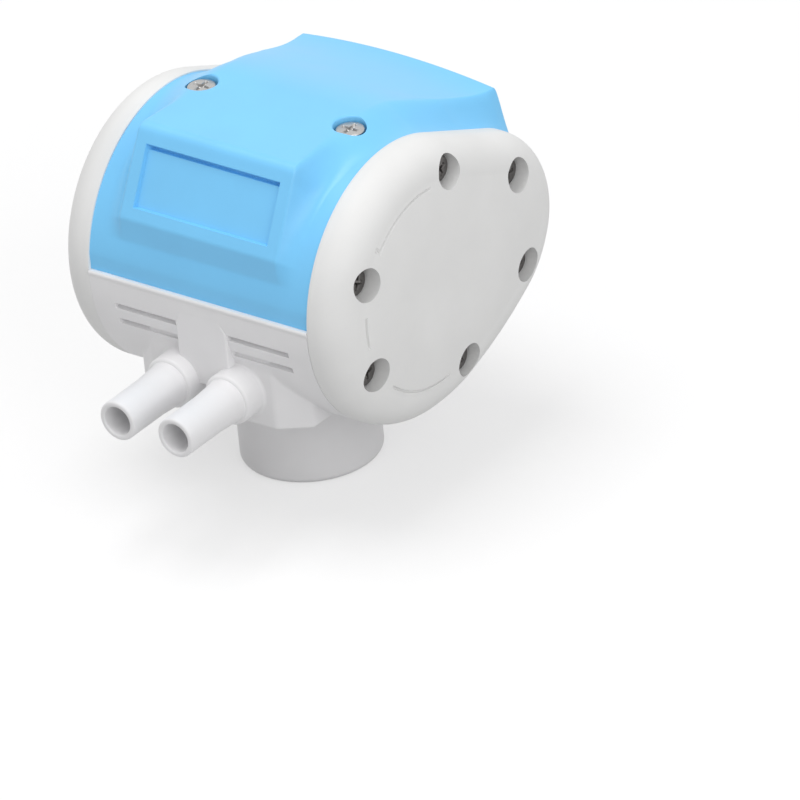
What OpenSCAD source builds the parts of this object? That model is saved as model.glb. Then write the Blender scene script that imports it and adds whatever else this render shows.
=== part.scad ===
// Pneumatic milking pulsator: an egg-shaped barrel with a diaphragm at each end, a
// slide valve under the top cover, two pulse nipples and a socket neck.
// Millimetres, +Z up, +X towards the right end cap, -Y towards the nipples.
// The origin is the middle of the neck's foot.

/* [Barrel] */
// Height of the barrel's axis above the foot of the neck
axis_h = 55.3; // [54:0.5:60]
// Radius of the barrel's round front
front_r = 34.7; // [34:0.1:36]
// Radius of the barrel's round back
back_r = 23; // [22:0.5:25]
// Reach of the barrel's front before the neck's axis
barrel_front = 35.7; // [35:0.1:37]
// Reach of the barrel's back behind the neck's axis
barrel_back = 50.3; // [49:0.5:54]
// Length of the barrel between the end caps
barrel_len = 64; // [63:1:72]
// Thickness of the flange behind each end cap
flange_t = 15; // [14:0.5:16]
// Height of the cover's lower edge above the axis
cover_line = 2.4; // [1:0.2:4]
// Height of the valve deck above the axis
deck_h = 10; // [9.5:0.5:11]

/* [Nipples and neck] */
// Half the distance between the two nipples
nipple_x = 8.5; // [8:0.25:10]
// Height of the nipples below the barrel's axis
nipple_drop = 20.2; // [19.6:0.2:21]
// Reach of the nipple tips in front of the neck's axis
nipple_reach = 59; // [50:1:66]
// Outer radius of a nipple at its tip
nipple_r = 5.05; // [4.8:0.05:5.4]
// Radius of a nipple's bore
nipple_bore_r = 3.65; // [3:0.05:3.8]
// Radius of the collar at a nipple's root
collar_r = 6.5; // [6:0.1:7]
// Length of that collar
collar_len = 6.2; // [4:0.2:7]
// Outer radius of the neck
neck_r = 17; // [16.5:0.25:19]
// Radius of the socket in the neck
socket_r = 14; // [13:0.25:14.5]
// Depth of that socket
socket_depth = 14; // [11:0.5:15]

/* [Nipple block] */
// Distance of the block's front face before the neck's axis
block_front = 33; // [31:0.5:34]
// Half width of the block's front face
block_face_w = 17.7; // [16:0.5:19]
// Half width of the block over its sides
block_w = 25; // [23:0.5:27]
// Depth of the chamfers beside the front face
block_chamfer = 5; // [3:0.5:7]
// Height of the block's underside above the neck's foot
block_z = 26.3; // [25:0.1:28]

/* [End caps] */
// Height of a cap's dome over its seam
cap_depth = 11.5; // [11:0.25:14]
// Height of the cap's face where the rounded rim ends
face_z = 10.2; // [9.8:0.1:10.8]
// Height at which the rim starts to round
rim_z = 2.2; // [1.5:0.1:3]
// Width of the rounded rim
rim_in = 8.5; // [6:0.5:9]
// Distance of the front screws before the rod's axis
screw_front = 30; // [29:0.2:31]
// Distance of the back screws behind the rod's axis
screw_back = 28.6; // [27.5:0.2:29.5]
// Distance of the top and bottom screws behind the rod's axis
screw_mid = 4; // [3:0.2:5]
// Height of the front and back screws from the axis
screw_side_z = 12; // [11:0.2:13]
// Height of the top and bottom screws from the axis
screw_top = 25.2; // [25:0.2:26]
// Radius of a screw's counterbore
counterbore_r = 4.2; // [3.8:0.1:4.4]
// Thickness of the cap left under a screw's head
screw_floor = 4.5; // [3:0.25:5]
// Radius of a cap screw's shank
screw_r = 1.75; // [1.5:0.05:1.9]
// Length of a cap screw's shank
screw_len = 10; // [8:0.5:11]

/* [Cover] */
// Wall of the cover
cover_t = 2.5; // [2:0.1:3]
// Step from the barrel's skin down to the cover's
cover_ledge = 0.4; // [0.2:0.1:1]
// Height of the flat top above the axis
top_h = 37.7; // [37:0.1:39]
// Half width of the label frame
label_w = 22.9; // [21:0.5:24]
// Height of the label frame's lower edge above the axis
label_low = 17.7; // [16:0.1:19]
// Slope of the label frame's face, in degrees
label_slope = 61.8; // [58:0.2:66]
// Half width of the label window
window_w = 19.6; // [17:0.5:20]
// Height of the label window along its slope
window_h = 14.4; // [10:0.5:15]
// Depth of the label window
window_depth = 1; // [0.5:0.1:1.4]
// Reach of the visor's edge behind the neck's axis
visor_reach = 46.4; // [44:0.2:50]
// Height of the visor's edge above the axis
visor_h = 26; // [25:0.2:28]
// Half width of the visor
visor_w = 28.5; // [27:0.5:30]
// Distance of a cover screw in from the barrel's end
cover_screw_in = 10.2; // [9.5:0.1:11]
// Radius of a cover screw's recess
cover_recess_r = 3.95; // [3.6:0.05:4.2]

/* [Mechanism] */
// Distance of the rod's axis behind the neck's axis
rod_y = 6; // [5:0.25:7]
// Travel of the diaphragm rod to each side
stroke = 4; // [2:0.25:4.5]
// Radius of the diaphragm rod
rod_r = 2.5; // [2:0.1:3]
// Outer radius of a rod bush
bush_r = 4.5; // [4:0.1:5]
// Radius of a diaphragm chamber
chamber_r = 19; // [18:0.25:19.5]
// Width of a diaphragm's clamped rim
rim_w = 3.3; // [2.5:0.1:3.5]
// Thickness of a diaphragm's clamped rim
rim_t = 2; // [1.5:0.1:2.5]
// Thickness of a diaphragm's web
web_t = 1.5; // [1:0.1:1.8]
// Radius of the diaphragm plates
plate_r = 12; // [10:0.5:13]
// Thickness of a diaphragm plate
plate_t = 2; // [1.5:0.1:2.2]
// Thickness of the port plate
port_plate_t = 2.5; // [2:0.1:3]
// Share of the rod's travel that the main slide makes
main_ratio = 0.75; // [0.6:0.05:0.9]
// Share of the rod's travel that the pilot slide makes
pilot_ratio = 0.5; // [0.4:0.05:0.6]
// Height of the slides
slide_h = 5; // [4.5:0.1:5.5]
// Radius of the rate screw's stem
rate_r = 2.5; // [2:0.1:3]

/* [Hidden] */
$fn = 64;
SIDES = [["left", -1], ["right", 1]];
SCREWS = [1, 2, 3, 4, 5, 6];

// clearances
fit = 0.05;       // running fit of rods, screws and stems, on the radius
slack = 0.3;      // free gap between pieces that pass or cover one another
past = 1;         // length by which a cut runs past a face

// barrel
end_x = barrel_len / 2;
front_y = front_r - barrel_front;
back_y = barrel_back - back_r;
barrel_lean = asin((front_r - back_r) / (back_y - front_y));
cover_r = front_r - cover_ledge;
cover_in = cover_ledge + cover_t;
flange_in = cover_in + slack;
chest_x = end_x - flange_t;
deck_z = axis_h + deck_h;

// diaphragms, measured inwards from a cap's seam
chamber_floor = 12;
plate_stack = 2 * plate_t + web_t;
dish = rim_t + plate_t + web_t - 0.7;
web_x = end_x - dish;
plate_x = web_x - plate_t;
stack_x = plate_x + plate_stack;
spigot_r = rod_r - 0.5;
end_head_r = 4;
end_head_h = 2.5;
end_shank_r = 1.25;
end_shank_len = 8;
driver_w = 1.1;   // width of a screwdriver slot
head_room = 2.8;
cap_chamber_depth = stack_x + end_head_h + stroke + head_room - end_x;

// well for the yoke, and the ports
yoke_x = 2;
yoke_w = 5;
hub_len = 8;
hub_r = 6;
well_gap = 1;
well_x = hub_len / 2 + stroke + well_gap;
well_front = rod_y - hub_r - well_gap;
well_back = rod_y + hub_r + well_gap;
well_z = axis_h - hub_r - well_gap;
port_y = well_front - 6;
port_r = 2.5;
vacuum_r = 3;
pilot_y = well_back + 7.5;
pilot_pitch = 6;
pilot_port_r = 1.5;
pilot_way_r = 1.1;
pilot_hole_z = axis_h + 3.5;

// nipples, pressed into the block
nipple_z = axis_h - nipple_drop;
nipple_grip = 9;
nipple_seat_y = nipple_grip - block_front;

// port plate and slides
gasket_t = 1;
plate_z = deck_z + gasket_t;
slide_z = plate_z + port_plate_t;
slide_top = slide_z + slide_h;
port_plate_x = chest_x - 1;
guide_w = 1.8;
guide_h = 2;
main_w = 11.4;
main_back = well_front - 2 * slack;
main_front = main_back - main_w;
main_len = 26;
pilot_front = well_back + 2;
pilot_w = 11;
pilot_back = pilot_front + pilot_w;
pilot_len = 20;
port_plate_front = main_front - slack - guide_w;
port_plate_back = pilot_back + slack + guide_w;
finger_z = slide_z + slide_h / 2;
finger_h = slide_h / 2 - slack;
finger_in = 3.4;
notch_in = finger_in + slack;
notch_play = 0.1;

// leaf springs
leaf_t = 0.6;
leaf_w = 5;
leaf_rise = 4;
leaf_seat = 1.5;
leaf_x = chest_x + leaf_seat - slack;
leaf_r = (pow(leaf_x, 2) + pow(leaf_rise, 2)) / (2 * leaf_rise);
leaf_gap = 0.1;
leaf_z = slide_top + leaf_gap;

// air filter behind the port plate
filter_front = port_plate_back + 1;
filter_t = 5;
filter_h = 6.5;
grid_t = 1.5;
slot_count = 6;
slot_w = 2.4;
slot_pitch = 5;

// caps
screw_head_r = 3.4;
screw_head_h = 2.6;
screw_socket_r = 1.5;
screw_spots = [
    [screw_mid, screw_top], [screw_back, screw_side_z], [screw_back, -screw_side_z],
    [screw_mid, -screw_top], [-screw_front, -screw_side_z], [-screw_front, screw_side_z]
];
line_in = 9.5;
line_w = 0.7;
line_depth = 0.4;
line_land_r = 8;

// cover
label_foot = 6;
label_foot_h = label_low - label_foot;
label_low_y = front_y - sqrt(pow(cover_r, 2) - pow(label_foot_h, 2));
label_len = (top_h - label_low) / sin(label_slope);
label_top_y = label_low_y + label_len * cos(label_slope);
top_back_y = rod_y;
visor_t = 2.6;
visor_steps = 12;
cover_screw_r = 1.5;
cover_screw_head_r = 3.5;
cover_screw_head_h = 2;
cover_screw_x = end_x - cover_screw_in;
cover_seat_z = axis_h + front_r - cover_ledge / 2;
cover_screw_len = 11;
cross_w = 0.8;
cross_len = 5;

// seal at the top of the neck's socket
neck_seal_r = socket_r + 1.5;
neck_seal_in = socket_r - 2.5;
neck_seal_h = 2;

// rate screw on the back of the barrel
rate_z = axis_h - 9;
rate_boss_r = 6.5;
rate_boss_y = barrel_back + 1;
rate_depth = 16;
rate_knob_r = 5;
rate_knob_h = 6;
seal_t = 1.4;

function cap_screw_name(side, i) = str(side, "_cap_screw_", i);
function slot_x(i) = (i - (slot_count - 1) / 2) * slot_pitch - slot_w / 2;
function smooth(t) = t * t * (3 - 2 * t);
function visor_point(t) = [
    top_back_y + (visor_reach - top_back_y) * t,
    top_h + (visor_h - top_h) * smooth(t)
];

// Barrel section in (y, z) from the rod's axis, its outline moved in by inset
module egg(inset = 0) {
    rounds = [[front_y - rod_y, front_r - inset], [back_y - rod_y, back_r - inset]];
    side = [for (c = rounds) [c[0] + c[1] * sin(barrel_lean), c[1] * cos(barrel_lean)]];
    for (c = rounds)
        translate([c[0], 0])
            circle(c[1]);
    polygon([side[0], side[1], [side[1][0], -side[1][1]], [side[0][0], -side[0][1]]]);
}

// Turns a drawing in (y, z) with its height along +X into the rod's frame
module on_barrel(x = 0) {
    translate([x, rod_y, axis_h])
        rotate([90, 0, 90])
            children();
}

// Mirrors what is drawn for the right end over to the left one
module at_end(dir) {
    mirror([dir < 0 ? 1 : 0, 0, 0])
        children();
}

// Cylinder along +X on the barrel's axis, from x0 to x1
module on_axis(r, x0, x1) {
    on_barrel(x0)
        cylinder(r = r, h = x1 - x0);
}

// Cylinder along +Y from y0 to y1
module along_y(r, x, y0, y1, z, r2 = undef) {
    translate([x, y0, z])
        rotate([-90, 0, 0])
            cylinder(r1 = r, r2 = is_undef(r2) ? r : r2, h = y1 - y0);
}

// Drawing in (y, z) from the neck's axis and the barrel's axis, run along X
module across(half) {
    translate([-half, 0, axis_h])
        rotate([90, 0, 90])
            linear_extrude(2 * half)
                children();
}

// Body

module barrel_blank() {
    reach = barrel_front + barrel_back;
    on_barrel(-end_x)
        linear_extrude(barrel_len) {
            intersection() {
                egg();
                translate([-reach, -reach])
                    square([2 * reach, reach + cover_line]);
            }
            intersection() {
                egg(flange_in);
                translate([-reach, -reach])
                    square([2 * reach, reach + deck_h]);
            }
        }
    for (s = SIDES)
        at_end(s[1])
            on_barrel(chest_x)
                linear_extrude(flange_t)
                    egg(flange_in);
}

module nipple_block() {
    block_back = neck_r - 3;
    chamfer_y = block_front - block_chamfer;
    panel_w = 7.4;
    panel_shoulder = 2.2;
    panel_sink = 0.1;
    panel_top = axis_h - 5 * panel_sink;
    panel_y = barrel_front - panel_sink;
    translate([0, 0, block_z])
        linear_extrude(axis_h - block_z)
            polygon([
                [block_w, block_back], [-block_w, block_back], [-block_w, -chamfer_y],
                [-block_face_w, -block_front], [block_face_w, -block_front], [block_w, -chamfer_y]
            ]);
    translate([0, front_r - panel_y, 0])
        rotate([90, 0, 0])
            linear_extrude(front_r)
                polygon([
                    [-panel_w, nipple_z], [panel_w, nipple_z], [panel_w, panel_top - 2 * panel_shoulder],
                    [panel_w - panel_shoulder, panel_top], [panel_shoulder - panel_w, panel_top],
                    [-panel_w, panel_top - 2 * panel_shoulder]
                ]);
}

module neck_blank() {
    foot_r = 1.5;
    rotate_extrude() {
        translate([0, foot_r])
            square([neck_r, axis_h - front_r / 2 - foot_r]);
        square([neck_r - foot_r, foot_r]);
        translate([neck_r - foot_r, foot_r])
            circle(foot_r);
    }
}

module grooves() {
    groove_h = 1.2;
    groove_depth = 0.8;
    groove_in = 7.8;
    groove_out = 25.4;
    groove_drops = [5.6, 10.1];
    for (s = [-1, 1], drop = groove_drops)
        translate([s * (groove_in + groove_out) / 2, front_y, axis_h - drop])
            rotate([90, 0, 0])
                translate([0, 0, sqrt(pow(front_r, 2) - pow(drop, 2)) - groove_depth])
                    linear_extrude(2 * groove_depth)
                        square([groove_out - groove_in, groove_h], center = true);
}

module air_ways() {
    for (s = [-1, 1]) {
        along_y(nipple_bore_r, s * nipple_x, -block_front, port_y + nipple_bore_r, nipple_z);
        along_y(nipple_r + fit, s * nipple_x, -barrel_front, nipple_seat_y, nipple_z);
        along_y(collar_r + fit, s * nipple_x, -barrel_front - past, -block_front, nipple_z);
        translate([s * nipple_x, port_y, nipple_z])
            cylinder(r = port_r, h = deck_z - nipple_z + past);
        translate([s * pilot_pitch, pilot_y, pilot_hole_z])
            cylinder(r = pilot_port_r, h = deck_z - pilot_hole_z + past);
        translate([s * pilot_pitch, pilot_y, pilot_hole_z + 2 * pilot_way_r])
            rotate([0, s * 90, 0])
                cylinder(r = pilot_way_r, h = end_x - chamber_floor - pilot_pitch + past);
    }
    translate([0, port_y, socket_depth])
        cylinder(r = vacuum_r, h = deck_z - socket_depth + past);
    translate([0, pilot_y, pilot_hole_z])
        cylinder(r = pilot_port_r, h = deck_z - pilot_hole_z + past);
}

module end_cuts() {
    on_axis(chamber_r, end_x - chamber_floor, end_x + past);
    on_axis(chamber_r + rim_w + fit, end_x - rim_t, end_x + past);
    on_axis(bush_r + fit / 2, 0, end_x - chamber_floor + past);
    on_barrel(end_x - screw_len + screw_floor - past)
        for (p = screw_spots)
            translate(p)
                cylinder(r = screw_r + fit, h = screw_len - screw_floor + 2 * past);
    translate([cover_screw_x, 0, cover_seat_z - cover_screw_len - past])
        cylinder(r = cover_screw_r + fit, h = cover_screw_len + past);
}

module leaf_slots() {
    for (y = [port_y, pilot_y])
        translate([-chest_x - leaf_seat, y - leaf_w / 2 - slack, leaf_z + leaf_rise - leaf_t])
            cube([2 * (chest_x + leaf_seat), leaf_w + 2 * slack, 3 * leaf_t]);
}

module rate_boss() {
    along_y(rate_boss_r, 0, back_y, rate_boss_y, rate_z);
}

module rate_hole() {
    along_y(rate_r + fit, 0, rate_boss_y - rate_depth - past, rate_boss_y + past, rate_z);
    along_y(rate_r + seal_t, 0, rate_boss_y - 2 * seal_t, rate_boss_y + past, rate_z);
}

module body() {
    color("whitesmoke")
        difference() {
            union() {
                barrel_blank();
                nipple_block();
                neck_blank();
                rate_boss();
            }
            translate([0, 0, -past])
                cylinder(r = socket_r, h = socket_depth + 2 * past);
            translate([0, 0, socket_depth])
                cylinder(r = neck_seal_r, h = neck_seal_h);
            for (s = SIDES)
                at_end(s[1])
                    end_cuts();
            translate([-well_x, well_front, well_z])
                cube([2 * well_x, well_back - well_front, deck_z - well_z + past]);
            air_ways();
            grooves();
            leaf_slots();
            rate_hole();
        }
}

// Nipple pressed into the block: tapered tube, collar and spigot
module nipple(dir) {
    nipple_taper = 0.4;
    lip = 0.8;
    collar_y = -block_front - collar_len;
    taper_y = -(nipple_reach + block_front) / 2;
    x = dir * nipple_x;
    color("whitesmoke")
        difference() {
            union() {
                along_y(nipple_r - lip / 2, x, -nipple_reach, -nipple_reach + lip, nipple_z, nipple_r);
                along_y(nipple_r, x, -nipple_reach + lip, taper_y, nipple_z);
                along_y(nipple_r, x, taper_y, collar_y, nipple_z, nipple_r + nipple_taper);
                along_y(collar_r - lip, x, collar_y, collar_y + lip, nipple_z, collar_r);
                along_y(collar_r, x, collar_y + lip, -block_front, nipple_z);
                along_y(nipple_r, x, -block_front - past, nipple_seat_y, nipple_z);
            }
            along_y(nipple_bore_r, x, -nipple_reach - past, nipple_seat_y + past, nipple_z);
        }
}

// End caps

// Height of a cap's skin at a distance in from its outline
function cap_skin(inset) =
    inset < rim_in
        ? rim_z + (face_z - rim_z) * sqrt(1 - pow(1 - inset / rim_in, 2))
        : face_z + (cap_depth - face_z) * (1 - pow(1 - (inset - rim_in) / (back_r - rim_in), 2));

module cap_blank() {
    slice_t = 0.01;
    rim_steps = 6;
    face_steps = 3;
    insets = concat(
        [for (i = [0 : rim_steps]) rim_in * (1 - cos(90 * i / rim_steps))],
        [for (i = [1 : face_steps]) rim_in + (back_r - rim_in - past) * i / face_steps]
    );
    hull() {
        linear_extrude(rim_z)
            egg($fn = 48);
        for (inset = insets)
            translate([0, 0, cap_skin(inset) - slice_t])
                linear_extrude(slice_t)
                    egg(inset, $fn = 48);
    }
}

module cap_lines() {
    difference() {
        translate([0, 0, cap_skin(line_in) - line_depth])
            linear_extrude(cap_depth)
                difference() {
                    egg(line_in - line_w / 2);
                    egg(line_in + line_w / 2);
                }
        for (p = screw_spots)
            translate(p)
                cylinder(r = line_land_r, h = 3 * cap_depth);
    }
}

module end_cap(dir) {
    color("gainsboro")
        at_end(dir)
            on_barrel(end_x)
                difference() {
                    cap_blank();
                    translate([0, 0, -past])
                        cylinder(r = chamber_r, h = cap_chamber_depth + past);
                    for (p = screw_spots)
                        translate(p) {
                            translate([0, 0, -past])
                                cylinder(r = screw_r + slack, h = cap_depth);
                            translate([0, 0, screw_floor])
                                cylinder(r = counterbore_r, h = cap_depth);
                        }
                    cap_lines();
                }
}

module cap_screw(dir, i) {
    color("dimgray")
        at_end(dir)
            on_barrel(end_x + screw_floor)
                translate(screw_spots[i - 1])
                    difference() {
                        union() {
                            cylinder(r = screw_head_r, h = screw_head_h);
                            translate([0, 0, -screw_len])
                                cylinder(r = screw_r, h = screw_len + past);
                        }
                        translate([0, 0, screw_head_h / 2])
                            cylinder(r = screw_socket_r, h = screw_head_h, $fn = 6);
                    }
}

// Top cover

module raised_section() {
    polygon(concat(
        [[label_low_y, label_foot_h], [label_low_y, label_low], [label_top_y, top_h]],
        [for (i = [0 : visor_steps]) visor_point(i / visor_steps)],
        [[visor_reach, visor_h - visor_t], [back_y + back_r / 3, visor_h - 2 * visor_t]],
        [[rod_y, label_foot_h]]
    ));
}

module raised_plan() {
    screw_land = cover_screw_x + cover_recess_r + 1.6;
    half = [
        [label_w + 1.7, label_low_y - 1], [label_w, label_low_y + 2], [label_w, label_top_y],
        [screw_land, 0], [visor_w + 1, back_y], [visor_w + 1, visor_reach + past]
    ];
    polygon(concat(half, [for (i = [len(half) - 1 : -1 : 0]) [-half[i][0], half[i][1]]]));
}

module raised_ends() {
    polygon([
        [visor_w, top_h + past], [visor_w, visor_h], [end_x, label_low], [end_x, 0],
        [-end_x, 0], [-end_x, label_low], [-visor_w, visor_h], [-visor_w, top_h + past]
    ]);
}

module raised_form() {
    intersection() {
        across(end_x)
            raised_section();
        translate([0, 0, axis_h])
            linear_extrude(2 * top_h)
                raised_plan();
        translate([0, visor_reach + past, axis_h])
            rotate([90, 0, 0])
                linear_extrude(2 * (visor_reach + barrel_front))
                    raised_ends();
    }
}

module label_window() {
    translate([0, label_low_y, axis_h + label_low])
        rotate([label_slope, 0, 0])
            translate([-window_w, (label_len - window_h) / 2, -window_depth])
                cube([2 * window_w, window_h, 2 * window_depth]);
}

module intake_slots() {
    slot_low = deck_h + grid_t;
    slot_high = visor_h - 3 * visor_t;
    for (i = [0 : slot_count - 1])
        translate([slot_x(i), back_y + back_r / 3, axis_h + slot_low])
            cube([slot_w, 2 * back_r, slot_high - slot_low]);
}

module top_cover() {
    color("skyblue")
        difference() {
            union() {
                on_barrel(-end_x)
                    linear_extrude(barrel_len)
                        egg(cover_ledge);
                raised_form();
            }
            on_barrel(-end_x - past)
                linear_extrude(barrel_len + 2 * past)
                    egg(cover_in);
            translate([-end_x - past, -2 * barrel_front, axis_h - 2 * front_r])
                cube([barrel_len + 2 * past, 2 * (barrel_front + barrel_back), 2 * front_r + cover_line]);
            label_window();
            intake_slots();
            for (s = [-1, 1])
                translate([s * cover_screw_x, 0, cover_seat_z]) {
                    cylinder(r = cover_recess_r, h = top_h);
                    translate([0, 0, -cover_screw_len])
                        cylinder(r = cover_screw_r + slack, h = cover_screw_len + past);
                }
        }
}

module cover_screw(dir) {
    color("silver")
        translate([dir * cover_screw_x, 0, cover_seat_z])
            difference() {
                union() {
                    cylinder(r = cover_screw_head_r, h = cover_screw_head_h);
                    translate([0, 0, -cover_screw_len])
                        cylinder(r = cover_screw_r, h = cover_screw_len + past);
                }
                translate([0, 0, cover_screw_head_h])
                    for (a = [0, 90])
                        rotate([0, 0, a])
                            cube([cross_w, cross_len, cover_screw_head_h], center = true);
            }
}

// Diaphragms and rod

module diaphragm(dir) {
    rim_x = end_x - rim_t;
    web_in_r = plate_r + 2 * slack;
    web_out_r = chamber_r - slack;
    color("dimgray")
        at_end(dir)
            on_barrel()
                rotate_extrude()
                    polygon([
                        [spigot_r + fit, web_x], [web_in_r, web_x], [web_out_r, rim_x],
                        [chamber_r + rim_w, rim_x], [chamber_r + rim_w, end_x], [web_out_r, end_x],
                        [web_in_r, web_x + web_t], [spigot_r + fit, web_x + web_t]
                    ]);
}

module diaphragm_plate(dir, x0) {
    color("silver")
        at_end(dir)
            difference() {
                on_axis(plate_r, x0, x0 + plate_t);
                on_axis(spigot_r + fit, x0 - past, x0 + plate_t + past);
            }
}

module inner_plate(dir) {
    diaphragm_plate(dir, plate_x);
}

module outer_plate(dir) {
    diaphragm_plate(dir, web_x + web_t);
}

module diaphragm_rod() {
    spigot_end = stack_x - slack;
    color("silver")
        difference() {
            union() {
                on_axis(rod_r, -plate_x, plate_x);
                on_axis(spigot_r, -spigot_end, spigot_end);
            }
            for (s = SIDES)
                at_end(s[1])
                    on_axis(end_shank_r + fit, stack_x - end_shank_len - past, stack_x + past);
        }
}

module rod_screw(dir) {
    color("gray")
        at_end(dir)
            difference() {
                union() {
                    on_axis(end_head_r, stack_x, stack_x + end_head_h);
                    on_axis(end_shank_r, stack_x - end_shank_len, stack_x + end_head_h / 2);
                }
                on_barrel(stack_x + end_head_h)
                    cube([2 * end_head_r + past, driver_w, end_head_h], center = true);
            }
}

module rod_bush(dir) {
    color("goldenrod")
        at_end(dir)
            difference() {
                on_axis(bush_r, well_x, end_x - chamber_floor);
                on_axis(rod_r + fit, well_x - past, end_x - chamber_floor + past);
            }
}

module slide_yoke() {
    color("goldenrod")
        difference() {
            union() {
                on_axis(hub_r, -hub_len / 2, hub_len / 2);
                translate([-yoke_x, rod_y - yoke_w, axis_h])
                    cube([2 * yoke_x, 2 * yoke_w, finger_z + finger_h - axis_h]);
                translate([-yoke_x, main_back - finger_in, finger_z + slack])
                    cube([2 * yoke_x, pilot_front - main_back + 2 * finger_in, finger_h - slack]);
            }
            on_axis(rod_r + fit / 2, -hub_len, hub_len);
        }
}

// Valve

module ports(z, h) {
    for (s = [-1, 1]) {
        translate([s * nipple_x, port_y, z])
            cylinder(r = port_r, h = h);
        translate([s * pilot_pitch, pilot_y, z])
            cylinder(r = pilot_port_r, h = h);
    }
    translate([0, port_y, z])
        cylinder(r = vacuum_r, h = h);
    translate([0, pilot_y, z])
        cylinder(r = pilot_port_r, h = h);
}

module port_sheet(z, t) {
    difference() {
        translate([-port_plate_x, port_plate_front, z])
            cube([2 * port_plate_x, port_plate_back - port_plate_front, t]);
        translate([-well_x, well_front, z - past])
            cube([2 * well_x, well_back - well_front, t + 2 * past]);
        ports(z - past, t + 2 * past);
    }
}

module port_gasket() {
    color("dimgray")
        port_sheet(deck_z, gasket_t);
}

module port_plate() {
    color("lightgray") {
        port_sheet(plate_z, port_plate_t);
        for (y = [port_plate_front, port_plate_back - guide_w])
            translate([-port_plate_x, y, plate_z])
                cube([2 * port_plate_x, guide_w, port_plate_t + guide_h]);
    }
}

// A slide of one length and width, its cavity and the notch for the yoke's finger
module slide(len, y0, y1, cavity, notch_y, notch_x) {
    cavity_h = 0.4 * slide_h;
    difference() {
        translate([-len / 2, y0, slide_z])
            cube([len, y1 - y0, slide_h]);
        translate([-cavity[0] / 2, (y0 + y1) / 2 - cavity[1] / 2, slide_z - past])
            cube([cavity[0], cavity[1], cavity_h + past]);
        translate([-notch_x, notch_y, finger_z])
            cube([2 * notch_x, notch_in + past, slide_h]);
    }
}

module main_slide() {
    notch_x = yoke_x + stroke * (1 - main_ratio) + notch_play;
    cavity = [nipple_x + 2 * port_r, 2 * vacuum_r];
    color("ivory")
        slide(main_len, main_front, main_back, cavity, main_back - notch_in, notch_x);
}

module pilot_slide() {
    notch_x = yoke_x + stroke * (1 - pilot_ratio) + notch_play;
    cavity = [pilot_pitch + 2 * pilot_port_r, 3 * pilot_port_r];
    color("ivory")
        slide(pilot_len, pilot_front, pilot_back, cavity, pilot_front - past, notch_x);
}

module leaf_spring(y) {
    color("silver")
        intersection() {
            difference() {
                along_y(leaf_r, 0, y - leaf_w / 2, y + leaf_w / 2, leaf_z + leaf_r);
                along_y(leaf_r - leaf_t, 0, y - leaf_w, y + leaf_w, leaf_z + leaf_r);
            }
            translate([-leaf_x, y - leaf_w, leaf_z - past])
                cube([2 * leaf_x, 2 * leaf_w, leaf_r]);
        }
}

module main_slide_spring() {
    leaf_spring(port_y);
}

module pilot_slide_spring() {
    leaf_spring(pilot_y);
}

// Air filter, rate screw and neck seal

module air_filter() {
    color("darkkhaki")
        translate([-port_plate_x, filter_front + grid_t, deck_z])
            cube([2 * port_plate_x, filter_t, filter_h]);
}

module filter_grid() {
    color("gainsboro")
        difference() {
            translate([-port_plate_x, filter_front, deck_z])
                cube([2 * port_plate_x, grid_t, filter_h]);
            for (i = [0 : slot_count - 1])
                translate([slot_x(i), filter_front - past, deck_z + grid_t])
                    cube([slot_w, grid_t + 2 * past, filter_h - 2 * grid_t]);
        }
}

module rate_screw() {
    color("silver")
        difference() {
            union() {
                along_y(rate_r, 0, rate_boss_y - rate_depth, rate_boss_y + rate_knob_h / 2, rate_z);
                along_y(rate_knob_r, 0, rate_boss_y + slack, rate_boss_y + slack + rate_knob_h, rate_z);
            }
            translate([0, rate_boss_y + slack + rate_knob_h, rate_z])
                cube([2 * rate_knob_r + past, rate_knob_h / 2, driver_w], center = true);
        }
}

module rate_screw_seal() {
    color("dimgray")
        difference() {
            along_y(rate_r + seal_t - fit, 0, rate_boss_y - 2 * seal_t, rate_boss_y - seal_t / 2, rate_z);
            along_y(rate_r + fit, 0, rate_boss_y - 3 * seal_t, rate_boss_y + past, rate_z);
        }
}

module neck_seal() {
    color("dimgray")
        translate([0, 0, socket_depth])
            difference() {
                cylinder(r = neck_seal_r - fit, h = neck_seal_h);
                translate([0, 0, -past])
                    cylinder(r = neck_seal_in, h = neck_seal_h + 2 * past);
            }
}

body();
top_cover();
port_gasket();
port_plate();
main_slide();
pilot_slide();
main_slide_spring();
pilot_slide_spring();
diaphragm_rod();
slide_yoke();
air_filter();
filter_grid();
rate_screw();
rate_screw_seal();
neck_seal();
for (s = SIDES) {
    nipple(s[1]);
    end_cap(s[1]);
    diaphragm(s[1]);
    inner_plate(s[1]);
    outer_plate(s[1]);
    rod_screw(s[1]);
    rod_bush(s[1]);
    cover_screw(s[1]);
    for (i = SCREWS)
        cap_screw(s[1], i);
}
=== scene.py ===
"""Milking pulsator: moulded housing, cover, caps, nipples, screws, diaphragms and a studio stage.

Every surface is worked out with numpy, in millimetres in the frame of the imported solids, and is
written to its mesh in metres. A section of the barrel is measured in (y, z) with z from the
barrel's axis.
"""

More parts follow.
